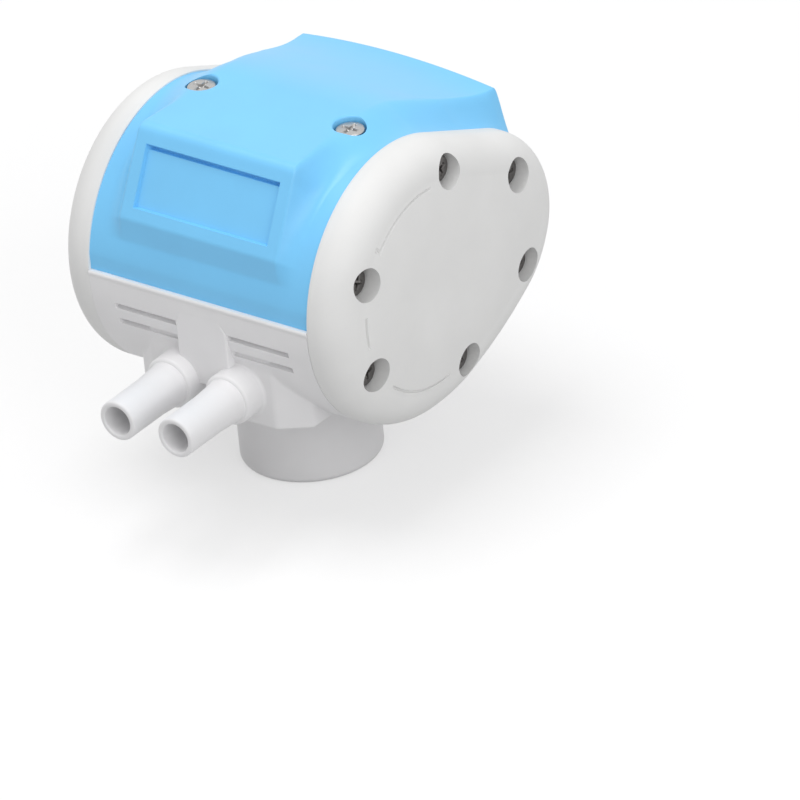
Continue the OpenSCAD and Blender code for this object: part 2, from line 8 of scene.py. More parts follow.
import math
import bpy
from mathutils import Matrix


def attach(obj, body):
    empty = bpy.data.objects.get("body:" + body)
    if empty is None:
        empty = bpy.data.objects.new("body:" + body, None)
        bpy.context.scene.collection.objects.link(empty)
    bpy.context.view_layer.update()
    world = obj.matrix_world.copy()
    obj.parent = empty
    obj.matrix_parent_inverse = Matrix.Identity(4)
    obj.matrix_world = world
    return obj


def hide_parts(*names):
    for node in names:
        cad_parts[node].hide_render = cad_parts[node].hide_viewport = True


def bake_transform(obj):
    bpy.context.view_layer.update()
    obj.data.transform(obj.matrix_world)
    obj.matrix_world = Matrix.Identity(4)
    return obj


bl_info = {
    "name": "Milking pulsator",
    "version": (1, 0, 0),
    "blender": (4, 5, 0),
    "location": "View3D > Sidebar > Pulsator",
    "description": "Builds the housing, cover, caps, screws and stage of a milking pulsator",
    "category": "Object",
}

import bmesh
import bpy
import numpy as np
from mathutils import Matrix, Vector

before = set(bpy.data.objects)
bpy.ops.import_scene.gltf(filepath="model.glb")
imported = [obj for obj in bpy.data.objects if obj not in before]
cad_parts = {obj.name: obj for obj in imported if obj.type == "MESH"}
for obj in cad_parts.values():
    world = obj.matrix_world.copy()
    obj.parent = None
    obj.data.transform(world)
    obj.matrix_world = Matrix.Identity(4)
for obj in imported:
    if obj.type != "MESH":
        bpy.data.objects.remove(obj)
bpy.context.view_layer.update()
MM = 0.001
MERGE = 0.001
SIDES = (("left", -1), ("right", 1))

# Barrel: two rounds joined by tangents, and its axis above the foot of the neck
AXIS_H = 55.3
FRONT_R, BACK_R = 34.7, 23.0
FRONT_Y, BACK_Y = -1.0, 27.3
END_X = 32.0
COVER_LINE = 2.4
LEAN = math.asin((FRONT_R - BACK_R) / (BACK_Y - FRONT_Y))
TURN = math.pi / 2 - LEAN
FRONT_LEN = FRONT_R * (math.pi - TURN)
SIDE_LEN = (BACK_Y - FRONT_Y) * math.cos(LEAN)
HALF_LEN = FRONT_LEN + SIDE_LEN + BACK_R * TURN
SWELL, SWELL_RUN = 2.0, 16.0

# Lower barrel: its wall, the bead under the cover, and the grooves in front with their drop below
# the axis, half their height and their ends
BARREL_WALL, BEAD_H = 3.4, 0.3
GROOVE_DROP, GROOVE_HALF, GROOVE_ENDS = np.array([5.6, 10.1]), 0.72, np.array([7.8, 25.4])

# Nipples, block, panel and neck
NIPPLE_X, NIPPLE_Z = 8.5, 35.1
NIPPLE_R, BORE_R, COLLAR_R, SPIGOT_R = 5.05, 3.65, 6.5, 5.1
TIP_Y, COLLAR_Y, FLARE_Y, SPIGOT_Y = -59.0, -39.2, -33.8, -24.0
BLOCK_Z, BLOCK_EDGE = 26.3, 0.9
BLOCK_PLAN = [[25, -12], [-25, -12], [-25, -28], [-17.7, -33], [17.7, -33], [25, -28]]
PANEL_HALF, PANEL_FRONT, PANEL_BACK = 7.4, -35.65, -30.0
PANEL_TOP, PANEL_EDGE, PANEL_SHOULDER = AXIS_H - 0.5, 0.5, 2.2
NECK_R, FOOT_ROUND = 17.0, 1.5
SOCKET_R, SOCKET_DEPTH, SOCKET_TOP, SEAL_R = 14.0, 14.0, 16.0, 15.5

# End caps
CAP_DEPTH, FACE_Z, RIM_Z, RIM_IN = 11.5, 10.2, 2.2, 8.5
CHAMBER_R, CHAMBER_DEPTH, CHAMBER_ROUND = 19.0, 8.0, 0.8
LINE_IN, LINE_AWAY = 9.6, 8.0
SCREW_SPOTS = np.array(
    [[10.0, 25.2], [34.6, 12.0], [34.6, -12.0], [10.0, -25.2], [-24.0, -12.0], [-24.0, 12.0]]
)
SCREW_FLOOR, COUNTERBORE_R = 4.5, 4.2

# Cover
LEDGE, COVER_IN = 0.4, 2.9
TOP_H, LABEL_LOW, LABEL_FOOT = 37.7, 17.7, 11.7
LABEL_SLOPE = math.radians(61.8)
LABEL_W, VISOR_W = 22.9, 28.5
VISOR_REACH, VISOR_H, VISOR_T = 46.4, 26.0, 2.6
WINDOW_W, WINDOW_H, WINDOW_DROP = 19.6, 15.2, 0.6
WINDOW_EDGE = np.array([-0.9, -0.7, -0.5, -0.35, -0.2, -0.1, 0, 0.1, 0.25])
COVER_SCREW_X, RECESS_R, RECESS_DEPTH = 21.8, 3.95, 3.2
RECESS_ROUND, RECESS_CORNER = 0.6, 0.3
SLOT_COUNT, SLOT_PITCH, SLOT_HALF, SLOT_Y, SLOT_Z = 6, 5.0, 1.2, (35, 62), (11.5, 18.2)

# Half width of the raised part of the cover, and of the foot of its flanks, by y
FLANK_IN = ([-22.5, -8, 4, 14, 28, 44], [LABEL_W, 22.0, 20.6, 21.0, 26.0, VISOR_W])
FLANK_OUT = ([-22.5, -6, 4, BACK_Y], [28.2, 30.6, END_X - 0.3, END_X])

# Valve chest inside the barrel
CHEST_IN, CHEST_X, DECK_H = 3.45, 17.0, 10.0
CHAMBER_X, POCKET_R, POCKET_X, BUSH_R = 20.0, 22.35, 30.0, 4.53
WELL_X, WELL_FRONT, WELL_BACK, WELL_Z = 9.0, -1.0, 13.0, 48.3
PORT_Y, PORT_R, VACUUM_R = -7.0, 2.5, 3.0
PILOT_X, PILOT_Y, PILOT_R, PILOT_Z = 6.0, 20.5, 1.5, 58.8
LEAF_X, LEAF_HALF, LEAF_Z = 18.5, 2.8, (77.3, 79.1)

# Rod, diaphragms and rate screw
ROD_Y = 6.0
RIM_X, WEB_X, WEB_T = END_X - 1.0, 27.95, 1.3
RATE_Y, RATE_Z, STEM_R, STEM_HOLE_R, STEM_LEN = 51.3, 46.3, 2.5, 2.6, 16.0
BOSS_R, BOSS_ROOT, BOSS_FOOT, SEAL_FLOOR = 6.5, 49.2, 44.0, 48.5
KNOB_R, KNOB_H, FLUTES, FLUTE_DEPTH = 4.9, 6.0, 24, 0.022


def smooth(low, high, v):
    """0 below low, 1 above high, and the cubic 3t^2 - 2t^3 between them."""
    t = np.clip((v - low) / (high - low), 0, 1)
    return t * t * (3 - 2 * t)


def soft_min(a, b, k):
    """The smaller of a and b, rounded off by a parabola where they are within k."""
    h = np.maximum(k - np.abs(a - b), 0) / k
    return np.minimum(a, b) - h * h * k / 4


def turned(profile, columns=96):
    """Profile (r, h) carried round its axis: (r cos u, r sin u, h) on rows and columns."""
    u = np.linspace(0, 2 * math.pi, columns, endpoint=False)
    profile = np.asarray(profile, float)
    r, h = profile[:, :1], profile[:, 1:]
    return np.stack([r * np.cos(u), r * np.sin(u), np.broadcast_to(h, (len(r), columns))], -1)


def along_x(grid, side, y, z, x=0.0):
    """A turned grid with its axis laid along X, towards the left or the right side."""
    return np.stack([side * (grid[..., 2] + x), grid[..., 0] + y, grid[..., 1] + z], -1)


def along_y(grid, x, z):
    """A turned grid with its axis laid along Y."""
    return np.stack([grid[..., 0] + x, grid[..., 2], grid[..., 1] + z], -1)


def quarter_edge(r, h, k, way=1, steps=5):
    """A rounded edge of a profile (r, h): from the face at h to the side at r, by a quarter circle
    of radius k inside the corner."""
    a = np.linspace(0, math.pi / 2, steps)
    return np.stack([r - k * (1 - np.sin(a)), h + way * k * (1 - np.cos(a))], -1)


def quarter_root(r, h, k, way=1, steps=5):
    """A hollow root of a profile (r, h): from the side at r outwards, by a quarter circle of
    radius k that starts along the side at h."""
    a = np.linspace(0, math.pi / 2, steps)
    return np.stack([r + k * (1 - np.cos(a)), h + way * k * np.sin(a)], -1)


def round_corners(path, radii, steps=7):
    """A polyline with each corner of radius above 0 replaced by an arc tangent to its sides."""
    path = np.asarray(path, float)
    out = [path[:1]]
    for before, here, after, radius in zip(path, path[1:], path[2:], radii[1:-1]):
        if radius <= 0:
            out.append(here[None])
            continue
        a = (before - here) / np.linalg.norm(before - here)
        b = (after - here) / np.linalg.norm(after - here)
        half = math.acos(np.clip(a @ b, -1, 1)) / 2
        room = 0.48 * min(np.linalg.norm(before - here), np.linalg.norm(after - here))
        cut = min(radius / math.tan(half), room)
        middle = here + (a + b) / np.linalg.norm(a + b) * cut / math.cos(half)
        p, q = here + a * cut - middle, here + b * cut - middle
        t = np.linspace(0, 1, steps)[:, None]
        angle = math.pi - 2 * half
        arc = (np.sin((1 - t) * angle) * p + np.sin(t * angle) * q) / math.sin(angle)
        out.append(middle + arc)
    return np.concatenate(out + [path[-1:]])


def rounded_loop(path, radii, steps=7):
    """A closed polyline with its corners rounded."""
    path = np.asarray(path, float)
    closed = np.concatenate([path[-1:], path, path[:1]])
    return round_corners(closed, [0, *radii, 0], steps)[1:-1]


def resample(path, at=None, step=0.5, closed=False):
    """Points of a polyline at given lengths along it, or evenly spaced about a step apart."""
    if closed:
        path = np.concatenate([path, path[:1]])
    run = np.concatenate([[0], np.cumsum(np.linalg.norm(np.diff(path, axis=0), axis=1))])
    if at is None:
        at = np.linspace(0, run[-1], max(3, int(run[-1] / step) + 1), endpoint=not closed)
    return np.stack([np.interp(at, run, path[:, k]) for k in range(path.shape[1])], -1)


def egg(s, inset=0.0):
    """Point and outward normal of the barrel's section at length s from its front, over the top.

    The normal turns on the front round, stays on the tangent side, and turns again on the back.
    """
    s = np.asarray(s, float)
    back = s > FRONT_LEN + SIDE_LEN
    angle = math.pi - np.clip(s, 0, FRONT_LEN) / FRONT_R
    angle = angle - np.clip(s - FRONT_LEN - SIDE_LEN, 0, None) / BACK_R
    normal = np.stack([np.cos(angle), np.sin(angle)], -1)
    run = np.where(back, 0, np.clip(s - FRONT_LEN, 0, SIDE_LEN))[:, None]
    middle = np.stack([np.where(back, BACK_Y, FRONT_Y), np.zeros_like(s)], -1)
    radius = np.where(back, BACK_R, FRONT_R)[:, None] - inset
    return middle + radius * normal + run * np.array([math.sin(TURN), -math.cos(TURN)]), normal


def lower_swell(s):
    """How far the lower side stands out past its tangent: a squared sine from round to round."""
    t = np.clip((s - FRONT_LEN + SWELL_RUN) / (SIDE_LEN + 2 * SWELL_RUN), 0, 1)
    return SWELL * np.sin(math.pi * t) ** 2


def egg_loop(columns):
    """The whole section as a loop of points, normals and swell: the upper half, then its mirror
    image, which alone swells."""
    s = np.linspace(0, 2 * HALF_LEN, columns, endpoint=False)
    lower = s > HALF_LEN
    s = np.where(lower, 2 * HALF_LEN - s, s)
    point, normal = egg(s)
    flip = np.stack([np.ones_like(s), np.where(lower, -1, 1)], -1)
    return point * flip, normal * flip, (lower * lower_swell(s))[:, None]


def egg_depth(p):
    """Distance of points inside the section from its outline: to a round, or to the side."""
    y, z = p[..., 0] - FRONT_Y, np.abs(p[..., 1])
    along = y * math.cos(LEAN) - z * math.sin(LEAN)
    front = FRONT_R - np.hypot(y, z)
    back = BACK_R - np.hypot(p[..., 0] - BACK_Y, z)
    side = FRONT_R - (z * math.cos(LEAN) + y * math.sin(LEAN))
    return np.where(along < 0, front, np.where(along > SIDE_LEN, back, side))


def under_barrel(y):
    """Height above the foot at which the round front of the barrel is at y, on its underside."""
    angle = np.arcsin(np.clip((y - FRONT_Y) / FRONT_R, -1, 1))
    return AXIS_H - FRONT_R * np.cos(angle) - lower_swell(FRONT_R * (math.pi / 2 + angle))


def shell_data(points, wrap_rows=False, start=None, end=None):
    """Vertices and faces of a grid of points; an open end is closed by a fan or by a strip.

    A fan joins the row to its middle. A strip joins column i to column n - 1 - i, for a row that
    goes out along one skin and back along the other.
    """
    m, n, _ = points.shape
    verts = [points.reshape(-1, 3)]
    i = np.arange(m if wrap_rows else m - 1)[:, None]
    j = np.arange(n)[None, :]
    nxt, right = (i + 1) % m, (j + 1) % n
    faces = np.stack([i * n + j, i * n + right, nxt * n + right, nxt * n + j], -1).reshape(-1, 4)
    faces = faces.tolist()
    extra = m * n
    for row, kind, turn in ((0, start, -1), (m - 1, end, 1)):
        k = np.arange(n)
        if kind == "fan":
            verts.append(points[row].mean(0)[None])
            ring = np.stack([row * n + k, row * n + (k + 1) % n, np.full(n, extra)], -1)
            faces += ring[:, ::turn].tolist()
            extra += 1
        elif kind == "strip":
            k = k[: n // 2 - 1]
            ring = row * n + np.stack([k, k + 1, n - 2 - k, n - 1 - k], -1)
            faces += ring[:, ::turn].tolist()
    return np.concatenate(verts), faces


def capped(points):
    """Vertices and faces of a grid closed by a fan at both ends."""
    return shell_data(points, start="fan", end="fan")


def outward(verts, faces):
    """Faces turned so that the volume they close is above 0."""
    corner = np.array([(f[0], f[k], f[k + 1]) for f in faces for k in range(1, len(f) - 1)])
    a, b, c = (verts[corner[:, k]] for k in range(3))
    volume = np.einsum("ij,ij->i", a, np.cross(b, c)).sum()
    return faces if volume > 0 else [f[::-1] for f in faces]


def make_mesh(name, *shells, sharp=40.0):
    """A mesh in metres of one or more shells of vertices and faces in millimetres."""
    verts, faces, first = [], [], 0
    for v, f in shells:
        faces += [[first + k for k in face] for face in outward(v, f)]
        verts.append(v)
        first += len(v)
    mesh = bpy.data.meshes.new(name)
    mesh.from_pydata((np.concatenate(verts) * MM).tolist(), [], faces)
    mesh.validate()
    finish_shading(mesh, sharp)
    return mesh


def finish_shading(mesh, sharp):
    """Merged points and smooth faces, with a hard line where two of them meet at more than the
    given degrees."""
    net = bmesh.new()
    net.from_mesh(mesh)
    bmesh.ops.remove_doubles(net, verts=net.verts, dist=MERGE * MM)
    net.to_mesh(mesh)
    net.free()
    mesh.shade_smooth()
    mesh.set_sharp_from_angle(angle=math.radians(sharp))


def ring_uv(mesh, middle, axis):
    """A UV map for turned work: u is the angle about the axis, v the distance from it in mm."""
    co = np.zeros(len(mesh.vertices) * 3)
    mesh.vertices.foreach_get("co", co)
    q = co.reshape(-1, 3) / MM - np.asarray(middle)
    keep = [k for k in range(3) if k != axis]
    u = np.arctan2(q[:, keep[1]], q[:, keep[0]]) / (2 * math.pi) + 0.5
    v = np.hypot(q[:, keep[0]], q[:, keep[1]])
    index = np.zeros(len(mesh.loops), int)
    mesh.loops.foreach_get("vertex_index", index)
    layer = mesh.uv_layers.new(name="turning")
    layer.data.foreach_set("uv", np.stack([u, v], -1)[index].ravel())


def add_piece(name, mesh, finish, nodes, body="housing"):
    """An object for a mesh that rides on a body, stands for solids and wears a finish."""
    piece = bpy.data.objects.new(name, mesh)
    bpy.context.scene.collection.objects.link(piece)
    mesh.materials.append(finish)
    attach(piece, body)
    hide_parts(*nodes)
    return piece


def carve(piece, cutter_mesh, sharp, folded=False):
    """Cuts the closed shells of a mesh out of a piece, and leaves the piece a plain mesh.

    A folded piece is one whose own faces cross each other where they are out of sight.
    """
    cutter = bpy.data.objects.new("cutter", cutter_mesh)
    bpy.context.scene.collection.objects.link(cutter)
    cut = piece.modifiers.new("cut", "BOOLEAN")
    cut.operation, cut.solver, cut.object = "DIFFERENCE", "EXACT", cutter
    cut.use_self = folded
    done = bpy.data.meshes.new_from_object(
        piece.evaluated_get(bpy.context.evaluated_depsgraph_get())
    )
    piece.modifiers.clear()
    old, name = piece.data, piece.data.name
    piece.data = done
    bpy.data.meshes.remove(old)
    done.name = name
    bpy.data.objects.remove(cutter)
    bpy.data.meshes.remove(cutter_mesh)
    finish_shading(done, sharp)


# Materials


def new_finish(name):
    """An empty material with its principled shader, output and object coordinates."""
    finish = bpy.data.materials.new(name)
    finish.use_nodes = True
    tree = finish.node_tree
    tree.nodes.clear()
    out = tree.nodes.new("ShaderNodeOutputMaterial")
    shader = tree.nodes.new("ShaderNodeBsdfPrincipled")
    tree.links.new(shader.outputs["BSDF"], out.inputs["Surface"])
    place = tree.nodes.new("ShaderNodeTexCoord").outputs["Object"]
    return finish, tree, shader, place


def noise(tree, place, scale, detail=3.0, rough=0.5):
    """Noise of a scale in cells per metre."""
    node = tree.nodes.new("ShaderNodeTexNoise")
    node.inputs["Scale"].default_value = scale
    node.inputs["Detail"].default_value = detail
    node.inputs["Roughness"].default_value = rough
    tree.links.new(place, node.inputs["Vector"])
    return node.outputs["Fac"]


def spread(tree, value, low, high, start=0.3, end=0.7):
    """A value between start and end mapped to low and high."""
    node = tree.nodes.new("ShaderNodeMapRange")
    node.inputs["From Min"].default_value = start
    node.inputs["From Max"].default_value = end
    node.inputs["To Min"].default_value = low
    node.inputs["To Max"].default_value = high
    tree.links.new(value, node.inputs["Value"])
    return node.outputs["Result"]


def mix_colour(tree, value, first, second):
    """A colour between two colours."""
    node = tree.nodes.new("ShaderNodeMix")
    node.data_type = "RGBA"
    tree.links.new(value, node.inputs["Factor"])
    for socket, colour in ((6, first), (7, second)):
        if hasattr(colour, "is_linked"):
            tree.links.new(colour, node.inputs[socket])
        else:
            node.inputs[socket].default_value = (*colour[:3], 1)
    return node.outputs[2]


def shade(colour, by):
    """A colour made lighter or darker."""
    return tuple(min(1.0, c * by) for c in colour[:3])


def bump(tree, height, strength, depth, under=None):
    """A bump of a depth in metres, on top of another one if given."""
    node = tree.nodes.new("ShaderNodeBump")
    node.inputs["Strength"].default_value = strength
    node.inputs["Distance"].default_value = depth
    tree.links.new(height, node.inputs["Height"])
    if under is not None:
        tree.links.new(under, node.inputs["Normal"])
    return node.outputs["Normal"]


def moulded_plastic(name, colour, roughness, grain, shine=0.42):
    """Satin moulded plastic: faint flow clouds in the colour, fine spark grain, soft waves."""
    finish, tree, shader, place = new_finish(name)
    clouds = noise(tree, place, 55, 4)
    specks = noise(tree, place, 2600, 2)
    tone = mix_colour(tree, spread(tree, clouds, 0, 1), shade(colour, 0.965), shade(colour, 1.02))
    tone = mix_colour(tree, spread(tree, specks, 0, 0.4 * grain), tone, shade(colour, 0.8))
    tree.links.new(tone, shader.inputs["Base Color"])
    tree.links.new(
        spread(tree, clouds, roughness - 0.04, roughness + 0.05), shader.inputs["Roughness"]
    )
    waves = bump(tree, noise(tree, place, 90, 1), 0.08, 0.0003)
    fine = bump(tree, noise(tree, place, 3800, 2, 0.6), grain, 0.00004, waves)
    tree.links.new(fine, shader.inputs["Normal"])
    shader.inputs["Specular IOR Level"].default_value = shine
    return finish


def turned_steel(name, colour, roughness):
    """Turned steel: fine rings about the axis, from the piece's own turning map, and stains."""
    finish, tree, shader, place = new_finish(name)
    uv = tree.nodes.new("ShaderNodeUVMap")
    uv.uv_map = "turning"
    split = tree.nodes.new("ShaderNodeSeparateXYZ")
    tree.links.new(uv.outputs["UV"], split.inputs["Vector"])
    rings = tree.nodes.new("ShaderNodeTexNoise")
    rings.noise_dimensions = "1D"
    rings.inputs["Scale"].default_value = 9
    rings.inputs["Detail"].default_value = 4
    tree.links.new(split.outputs["Y"], rings.inputs["W"])
    stain = noise(tree, place, 320, 3)
    tone = mix_colour(tree, spread(tree, rings.outputs["Fac"], 0, 1), shade(colour, 0.72), colour)
    tone = mix_colour(tree, spread(tree, stain, 0, 0.5), tone, shade(colour, 0.6))
    tree.links.new(tone, shader.inputs["Base Color"])
    tree.links.new(
        spread(tree, stain, roughness - 0.06, roughness + 0.14), shader.inputs["Roughness"]
    )
    tree.links.new(bump(tree, rings.outputs["Fac"], 0.35, 0.00005), shader.inputs["Normal"])
    shader.inputs["Metallic"].default_value = 1.0
    return finish


def plain_metal(name, colour, roughness, stretch):
    """Drawn or turned metal inside the housing: streaks along one axis and cloudy stains."""
    finish, tree, shader, place = new_finish(name)
    mapping = tree.nodes.new("ShaderNodeMapping")
    mapping.inputs["Scale"].default_value = stretch
    tree.links.new(place, mapping.inputs["Vector"])
    streaks = noise(tree, mapping.outputs["Vector"], 900, 3)
    stain = noise(tree, place, 160, 3)
    tone = mix_colour(tree, spread(tree, streaks, 0, 1), shade(colour, 0.8), colour)
    tree.links.new(tone, shader.inputs["Base Color"])
    tree.links.new(
        spread(tree, stain, roughness - 0.06, roughness + 0.12), shader.inputs["Roughness"]
    )
    tree.links.new(bump(tree, streaks, 0.25, 0.00005), shader.inputs["Normal"])
    shader.inputs["Metallic"].default_value = 1.0
    return finish


def black_rubber(name, colour):
    """Moulded rubber: dull black with a grey bloom and a fine pitted skin."""
    finish, tree, shader, place = new_finish(name)
    bloom = noise(tree, place, 140, 4)
    pits = noise(tree, place, 4200, 2)
    tone = mix_colour(tree, spread(tree, bloom, 0, 1), colour, shade(colour, 1.9))
    tree.links.new(tone, shader.inputs["Base Color"])
    tree.links.new(spread(tree, bloom, 0.58, 0.78), shader.inputs["Roughness"])
    tree.links.new(bump(tree, pits, 0.4, 0.00006), shader.inputs["Normal"])
    return finish


def open_felt(name, colour):
    """Filter felt: crossing fibres as a deep open bump, with painted shade that makes the tone
    darker in the bump's hollows, and pores as a second bump.
    """
    finish, tree, shader, place = new_finish(name)
    fibres = noise(tree, place, 1500, 6, 0.75)
    pores = tree.nodes.new("ShaderNodeTexVoronoi")
    pores.inputs["Scale"].default_value = 1400
    tree.links.new(place, pores.inputs["Vector"])
    # Painted shade: the tone follows the fibre bump, darker in its hollows and lighter on its
    # crests
    tone = mix_colour(tree, spread(tree, fibres, 0, 1), shade(colour, 0.55), shade(colour, 1.2))
    tree.links.new(tone, shader.inputs["Base Color"])
    matted = bump(tree, fibres, 0.8, 0.0004)
    open_skin = bump(tree, pores.outputs["Distance"], 0.5, 0.0003, matted)
    tree.links.new(open_skin, shader.inputs["Normal"])
    shader.inputs["Roughness"].default_value = 0.95
    return finish


# Sizes and colours


def length_setting(name, description, default, low, high):
    """A length property whose values are given in millimetres."""
    return bpy.props.FloatProperty(
        name=name, description=description, default=default * MM, min=low * MM, max=high * MM,
        precision=5, unit="LENGTH",
    )


def colour_setting(name, description, default):
    """A colour property."""
    return bpy.props.FloatVectorProperty(
        name=name, description=description, default=default, subtype="COLOR", size=3, min=0, max=1,
    )


def angle_setting(name, description, degrees):
    """An angle property whose default is given in degrees."""
    return bpy.props.FloatProperty(
        name=name, description=description, default=math.radians(degrees), subtype="ANGLE",
        unit="ROTATION",
    )


class PulsatorForm(bpy.types.PropertyGroup):
    """Roundings and depths of the mouldings."""

    frame_round: length_setting(
        "Frame rounding", "Rounding of the label frame's edges", 1.3, 0.2, 3
    )
    crown_round: length_setting(
        "Crown rounding", "Rounding between the label face and the flat top", 3.0, 0.5, 6
    )
    visor_arch: length_setting("Visor arch", "Rise of the visor's edge in its middle", 2.0, 0, 3)
    edge_tuck: length_setting(
        "Edge tuck", "How far the cover's lower front edge draws in", 0.5, 0, 1
    )
    window_depth: length_setting("Window depth", "Depth of the label window", 1.0, 0.2, 1.5)
    groove_depth: length_setting(
        "Groove depth", "Depth of the grooves beside the middle panel", 1.6, 0.2, 2
    )
    line_depth: length_setting("Line depth", "Depth of the arcs on the caps", 0.6, 0.1, 0.8)
    root_fillet: length_setting(
        "Root fillet", "Fillet where the neck and block meet the barrel", 1.6, 0.3, 3
    )


class PulsatorFinish(bpy.types.PropertyGroup):
    """Colours and roughness of the materials."""

    cover: colour_setting("Cover", "Blue of the cover", (0.205, 0.612, 0.985))
    moulding: colour_setting(
        "Moulding", "Off-white of the barrel, nipples and neck", (0.83, 0.825, 0.835)
    )
    caps: colour_setting("Caps", "Pale grey of the end caps", (0.815, 0.815, 0.81))
    steel: colour_setting("Steel", "Colour of the screws", (0.62, 0.61, 0.60))
    dark_steel: colour_setting("Dark steel", "Colour of the cap screws", (0.22, 0.21, 0.205))
    brass: colour_setting("Brass", "Colour of the yoke and bushes", (0.78, 0.58, 0.26))
    rubber: colour_setting("Rubber", "Colour of the diaphragms and seals", (0.028, 0.028, 0.030))
    roughness: bpy.props.FloatProperty(
        name="Roughness", description="Roughness of the moulded plastic", subtype="FACTOR",
        default=0.42, min=0.1, max=0.9,
    )


class PulsatorStage(bpy.types.PropertyGroup):
    """Camera, floor and light."""

    azimuth: angle_setting("Azimuth", "Turn of the camera to the right of the nipples", 40.04)
    elevation: angle_setting("Elevation", "Height of the camera above the horizon", 29.43)
    roll: angle_setting("Roll", "Turn of the camera about its own line of sight", -6.08)
    frame_width: bpy.props.FloatProperty(
        name="Frame width", description="Width of the picture at the object",
        default=186.8 * MM, precision=4, unit="LENGTH",
    )
    lens: bpy.props.FloatProperty(
        name="Lens", description="Focal length in millimetres", default=1500.0, min=50, max=1600,
    )
    ambient: bpy.props.FloatProperty(
        name="Surrounding light", description="Strength of the even light", default=0.6, min=0,
    )
    key: bpy.props.FloatProperty(
        name="Key light", description="Power of the lamp overhead",
        default=6.0, min=0, unit="POWER",
    )
    fill: bpy.props.FloatProperty(
        name="Fill light", description="Power of the lamp at the right",
        default=5.0, min=0, unit="POWER",
    )
    bounce: bpy.props.FloatProperty(
        name="Floor bounce", description="Share of light the floor throws back at the object",
        default=0.53, min=0, max=1, subtype="FACTOR",
    )


def finishes():
    """The materials by name, made on first use from the colours of the finish group."""
    made = bpy.data.materials
    f = bpy.context.scene.pulsator_finish
    recipes = {
        "cover_blue": lambda n: moulded_plastic(n, f.cover, f.roughness - 0.08, 0.035, 0.42),
        "moulding_white": lambda n: moulded_plastic(n, f.moulding, f.roughness, 0.07),
        "cap_grey": lambda n: moulded_plastic(n, f.caps, f.roughness + 0.08, 0.1, 0.18),
        "screw_steel": lambda n: turned_steel(n, f.steel, 0.3),
        "bolt_steel": lambda n: turned_steel(n, f.dark_steel, 0.36),
        "rod_steel": lambda n: plain_metal(n, f.steel, 0.26, (0.1, 1, 1)),
        "turned_brass": lambda n: plain_metal(n, f.brass, 0.3, (0.2, 1, 1)),
        "black_rubber": lambda n: black_rubber(n, f.rubber),
        "plate_grey": lambda n: moulded_plastic(n, (0.55, 0.56, 0.57), 0.38, 0.08),
        "slide_ivory": lambda n: moulded_plastic(n, (0.80, 0.76, 0.62), 0.3, 0.06),
        "filter_felt": lambda n: open_felt(n, (0.55, 0.50, 0.33)),
    }
    return {n: made.get(n) or make(n) for n, make in recipes.items()}


# Cover


def cover_section(form):
    """The cover's outer section through its middle, over the frame and visor.

    It follows the barrel from the cover's lower edge, steps out at the label's foot, climbs the
    label's slope, runs along the flat top, falls to the visor's edge on the curve 3t^2 - 2t^3,
    turns under it and follows the barrel down to the lower edge at the back.
    """
    r = FRONT_R - LEDGE
    low, foot = (FRONT_R * math.asin(h / r) for h in (COVER_LINE, LABEL_FOOT))
    climb = np.linspace(low, foot, 14)
    front = egg(climb, LEDGE)[0]
    tuck = form.edge_tuck / MM * (1 - smooth(low, 0.6 * foot, climb))
    front = front - tuck[:, None] * egg(climb)[1]
    slope = np.array([math.cos(LABEL_SLOPE), math.sin(LABEL_SLOPE)])
    label_low = np.array([front[-1, 0], LABEL_LOW])
    label_len = (TOP_H - LABEL_LOW) / slope[1]
    t = np.linspace(0, 1, 30)
    visor = np.stack(
        [ROD_Y + (VISOR_REACH - ROD_Y) * t, TOP_H + (VISOR_H - TOP_H) * smooth(0, 1, t)], -1
    )
    tuck_angle = math.radians(66)
    back_r = BACK_R - LEDGE
    end_angle = math.asin(COVER_LINE / back_r)
    a = np.linspace(tuck_angle, end_angle, 26)
    back = np.stack([BACK_Y + back_r * np.cos(a), back_r * np.sin(a)], -1)
    lip = np.array([[VISOR_REACH, VISOR_H - VISOR_T]])
    path = np.concatenate(
        [front, label_low[None], (label_low + slope * label_len)[None], visor, lip, back]
    )
    radii = np.zeros(len(path))
    n = len(front)
    radii[n - 1], radii[n], radii[n + 1] = 0.8, form.frame_round / MM, form.crown_round / MM
    radii[n + 1 + len(visor)] = radii[n + 2 + len(visor)] = 1.0
    radii[n + 3 + len(visor)] = 1.2
    return resample(round_corners(path, radii), step=0.05), label_low, slope, label_len


def cover_rows(form):
    """Lengths and points of the raised section's rows, closer together at the window's edges, each
    point's place across the label face from the window's middle, and the face's normal."""
    fine, label_low, slope, label_len = cover_section(form)
    out = np.array([-slope[1], slope[0]])
    up, off = (fine - label_low) @ slope, (fine - label_low) @ out
    run = np.concatenate([[0], np.cumsum(np.linalg.norm(np.diff(fine, axis=0), axis=1))])
    face = (np.abs(off) < 0.02) & (up > 0) & (up < label_len)
    middle, half = label_len / 2 - WINDOW_DROP, WINDOW_H / 2
    window_up = np.concatenate([middle - half - WINDOW_EDGE, middle + half + WINDOW_EDGE])
    at = np.interp(np.sort(window_up), up[face], run[face])
    at = np.unique(np.concatenate([np.linspace(0, run[-1], 270), at]))
    raised = resample(fine, at)
    up, off = (raised - label_low) @ slope, (raised - label_low) @ out
    off_face = 99.0
    return at, raised, np.where(np.abs(off) < 0.1, up - middle, off_face), out


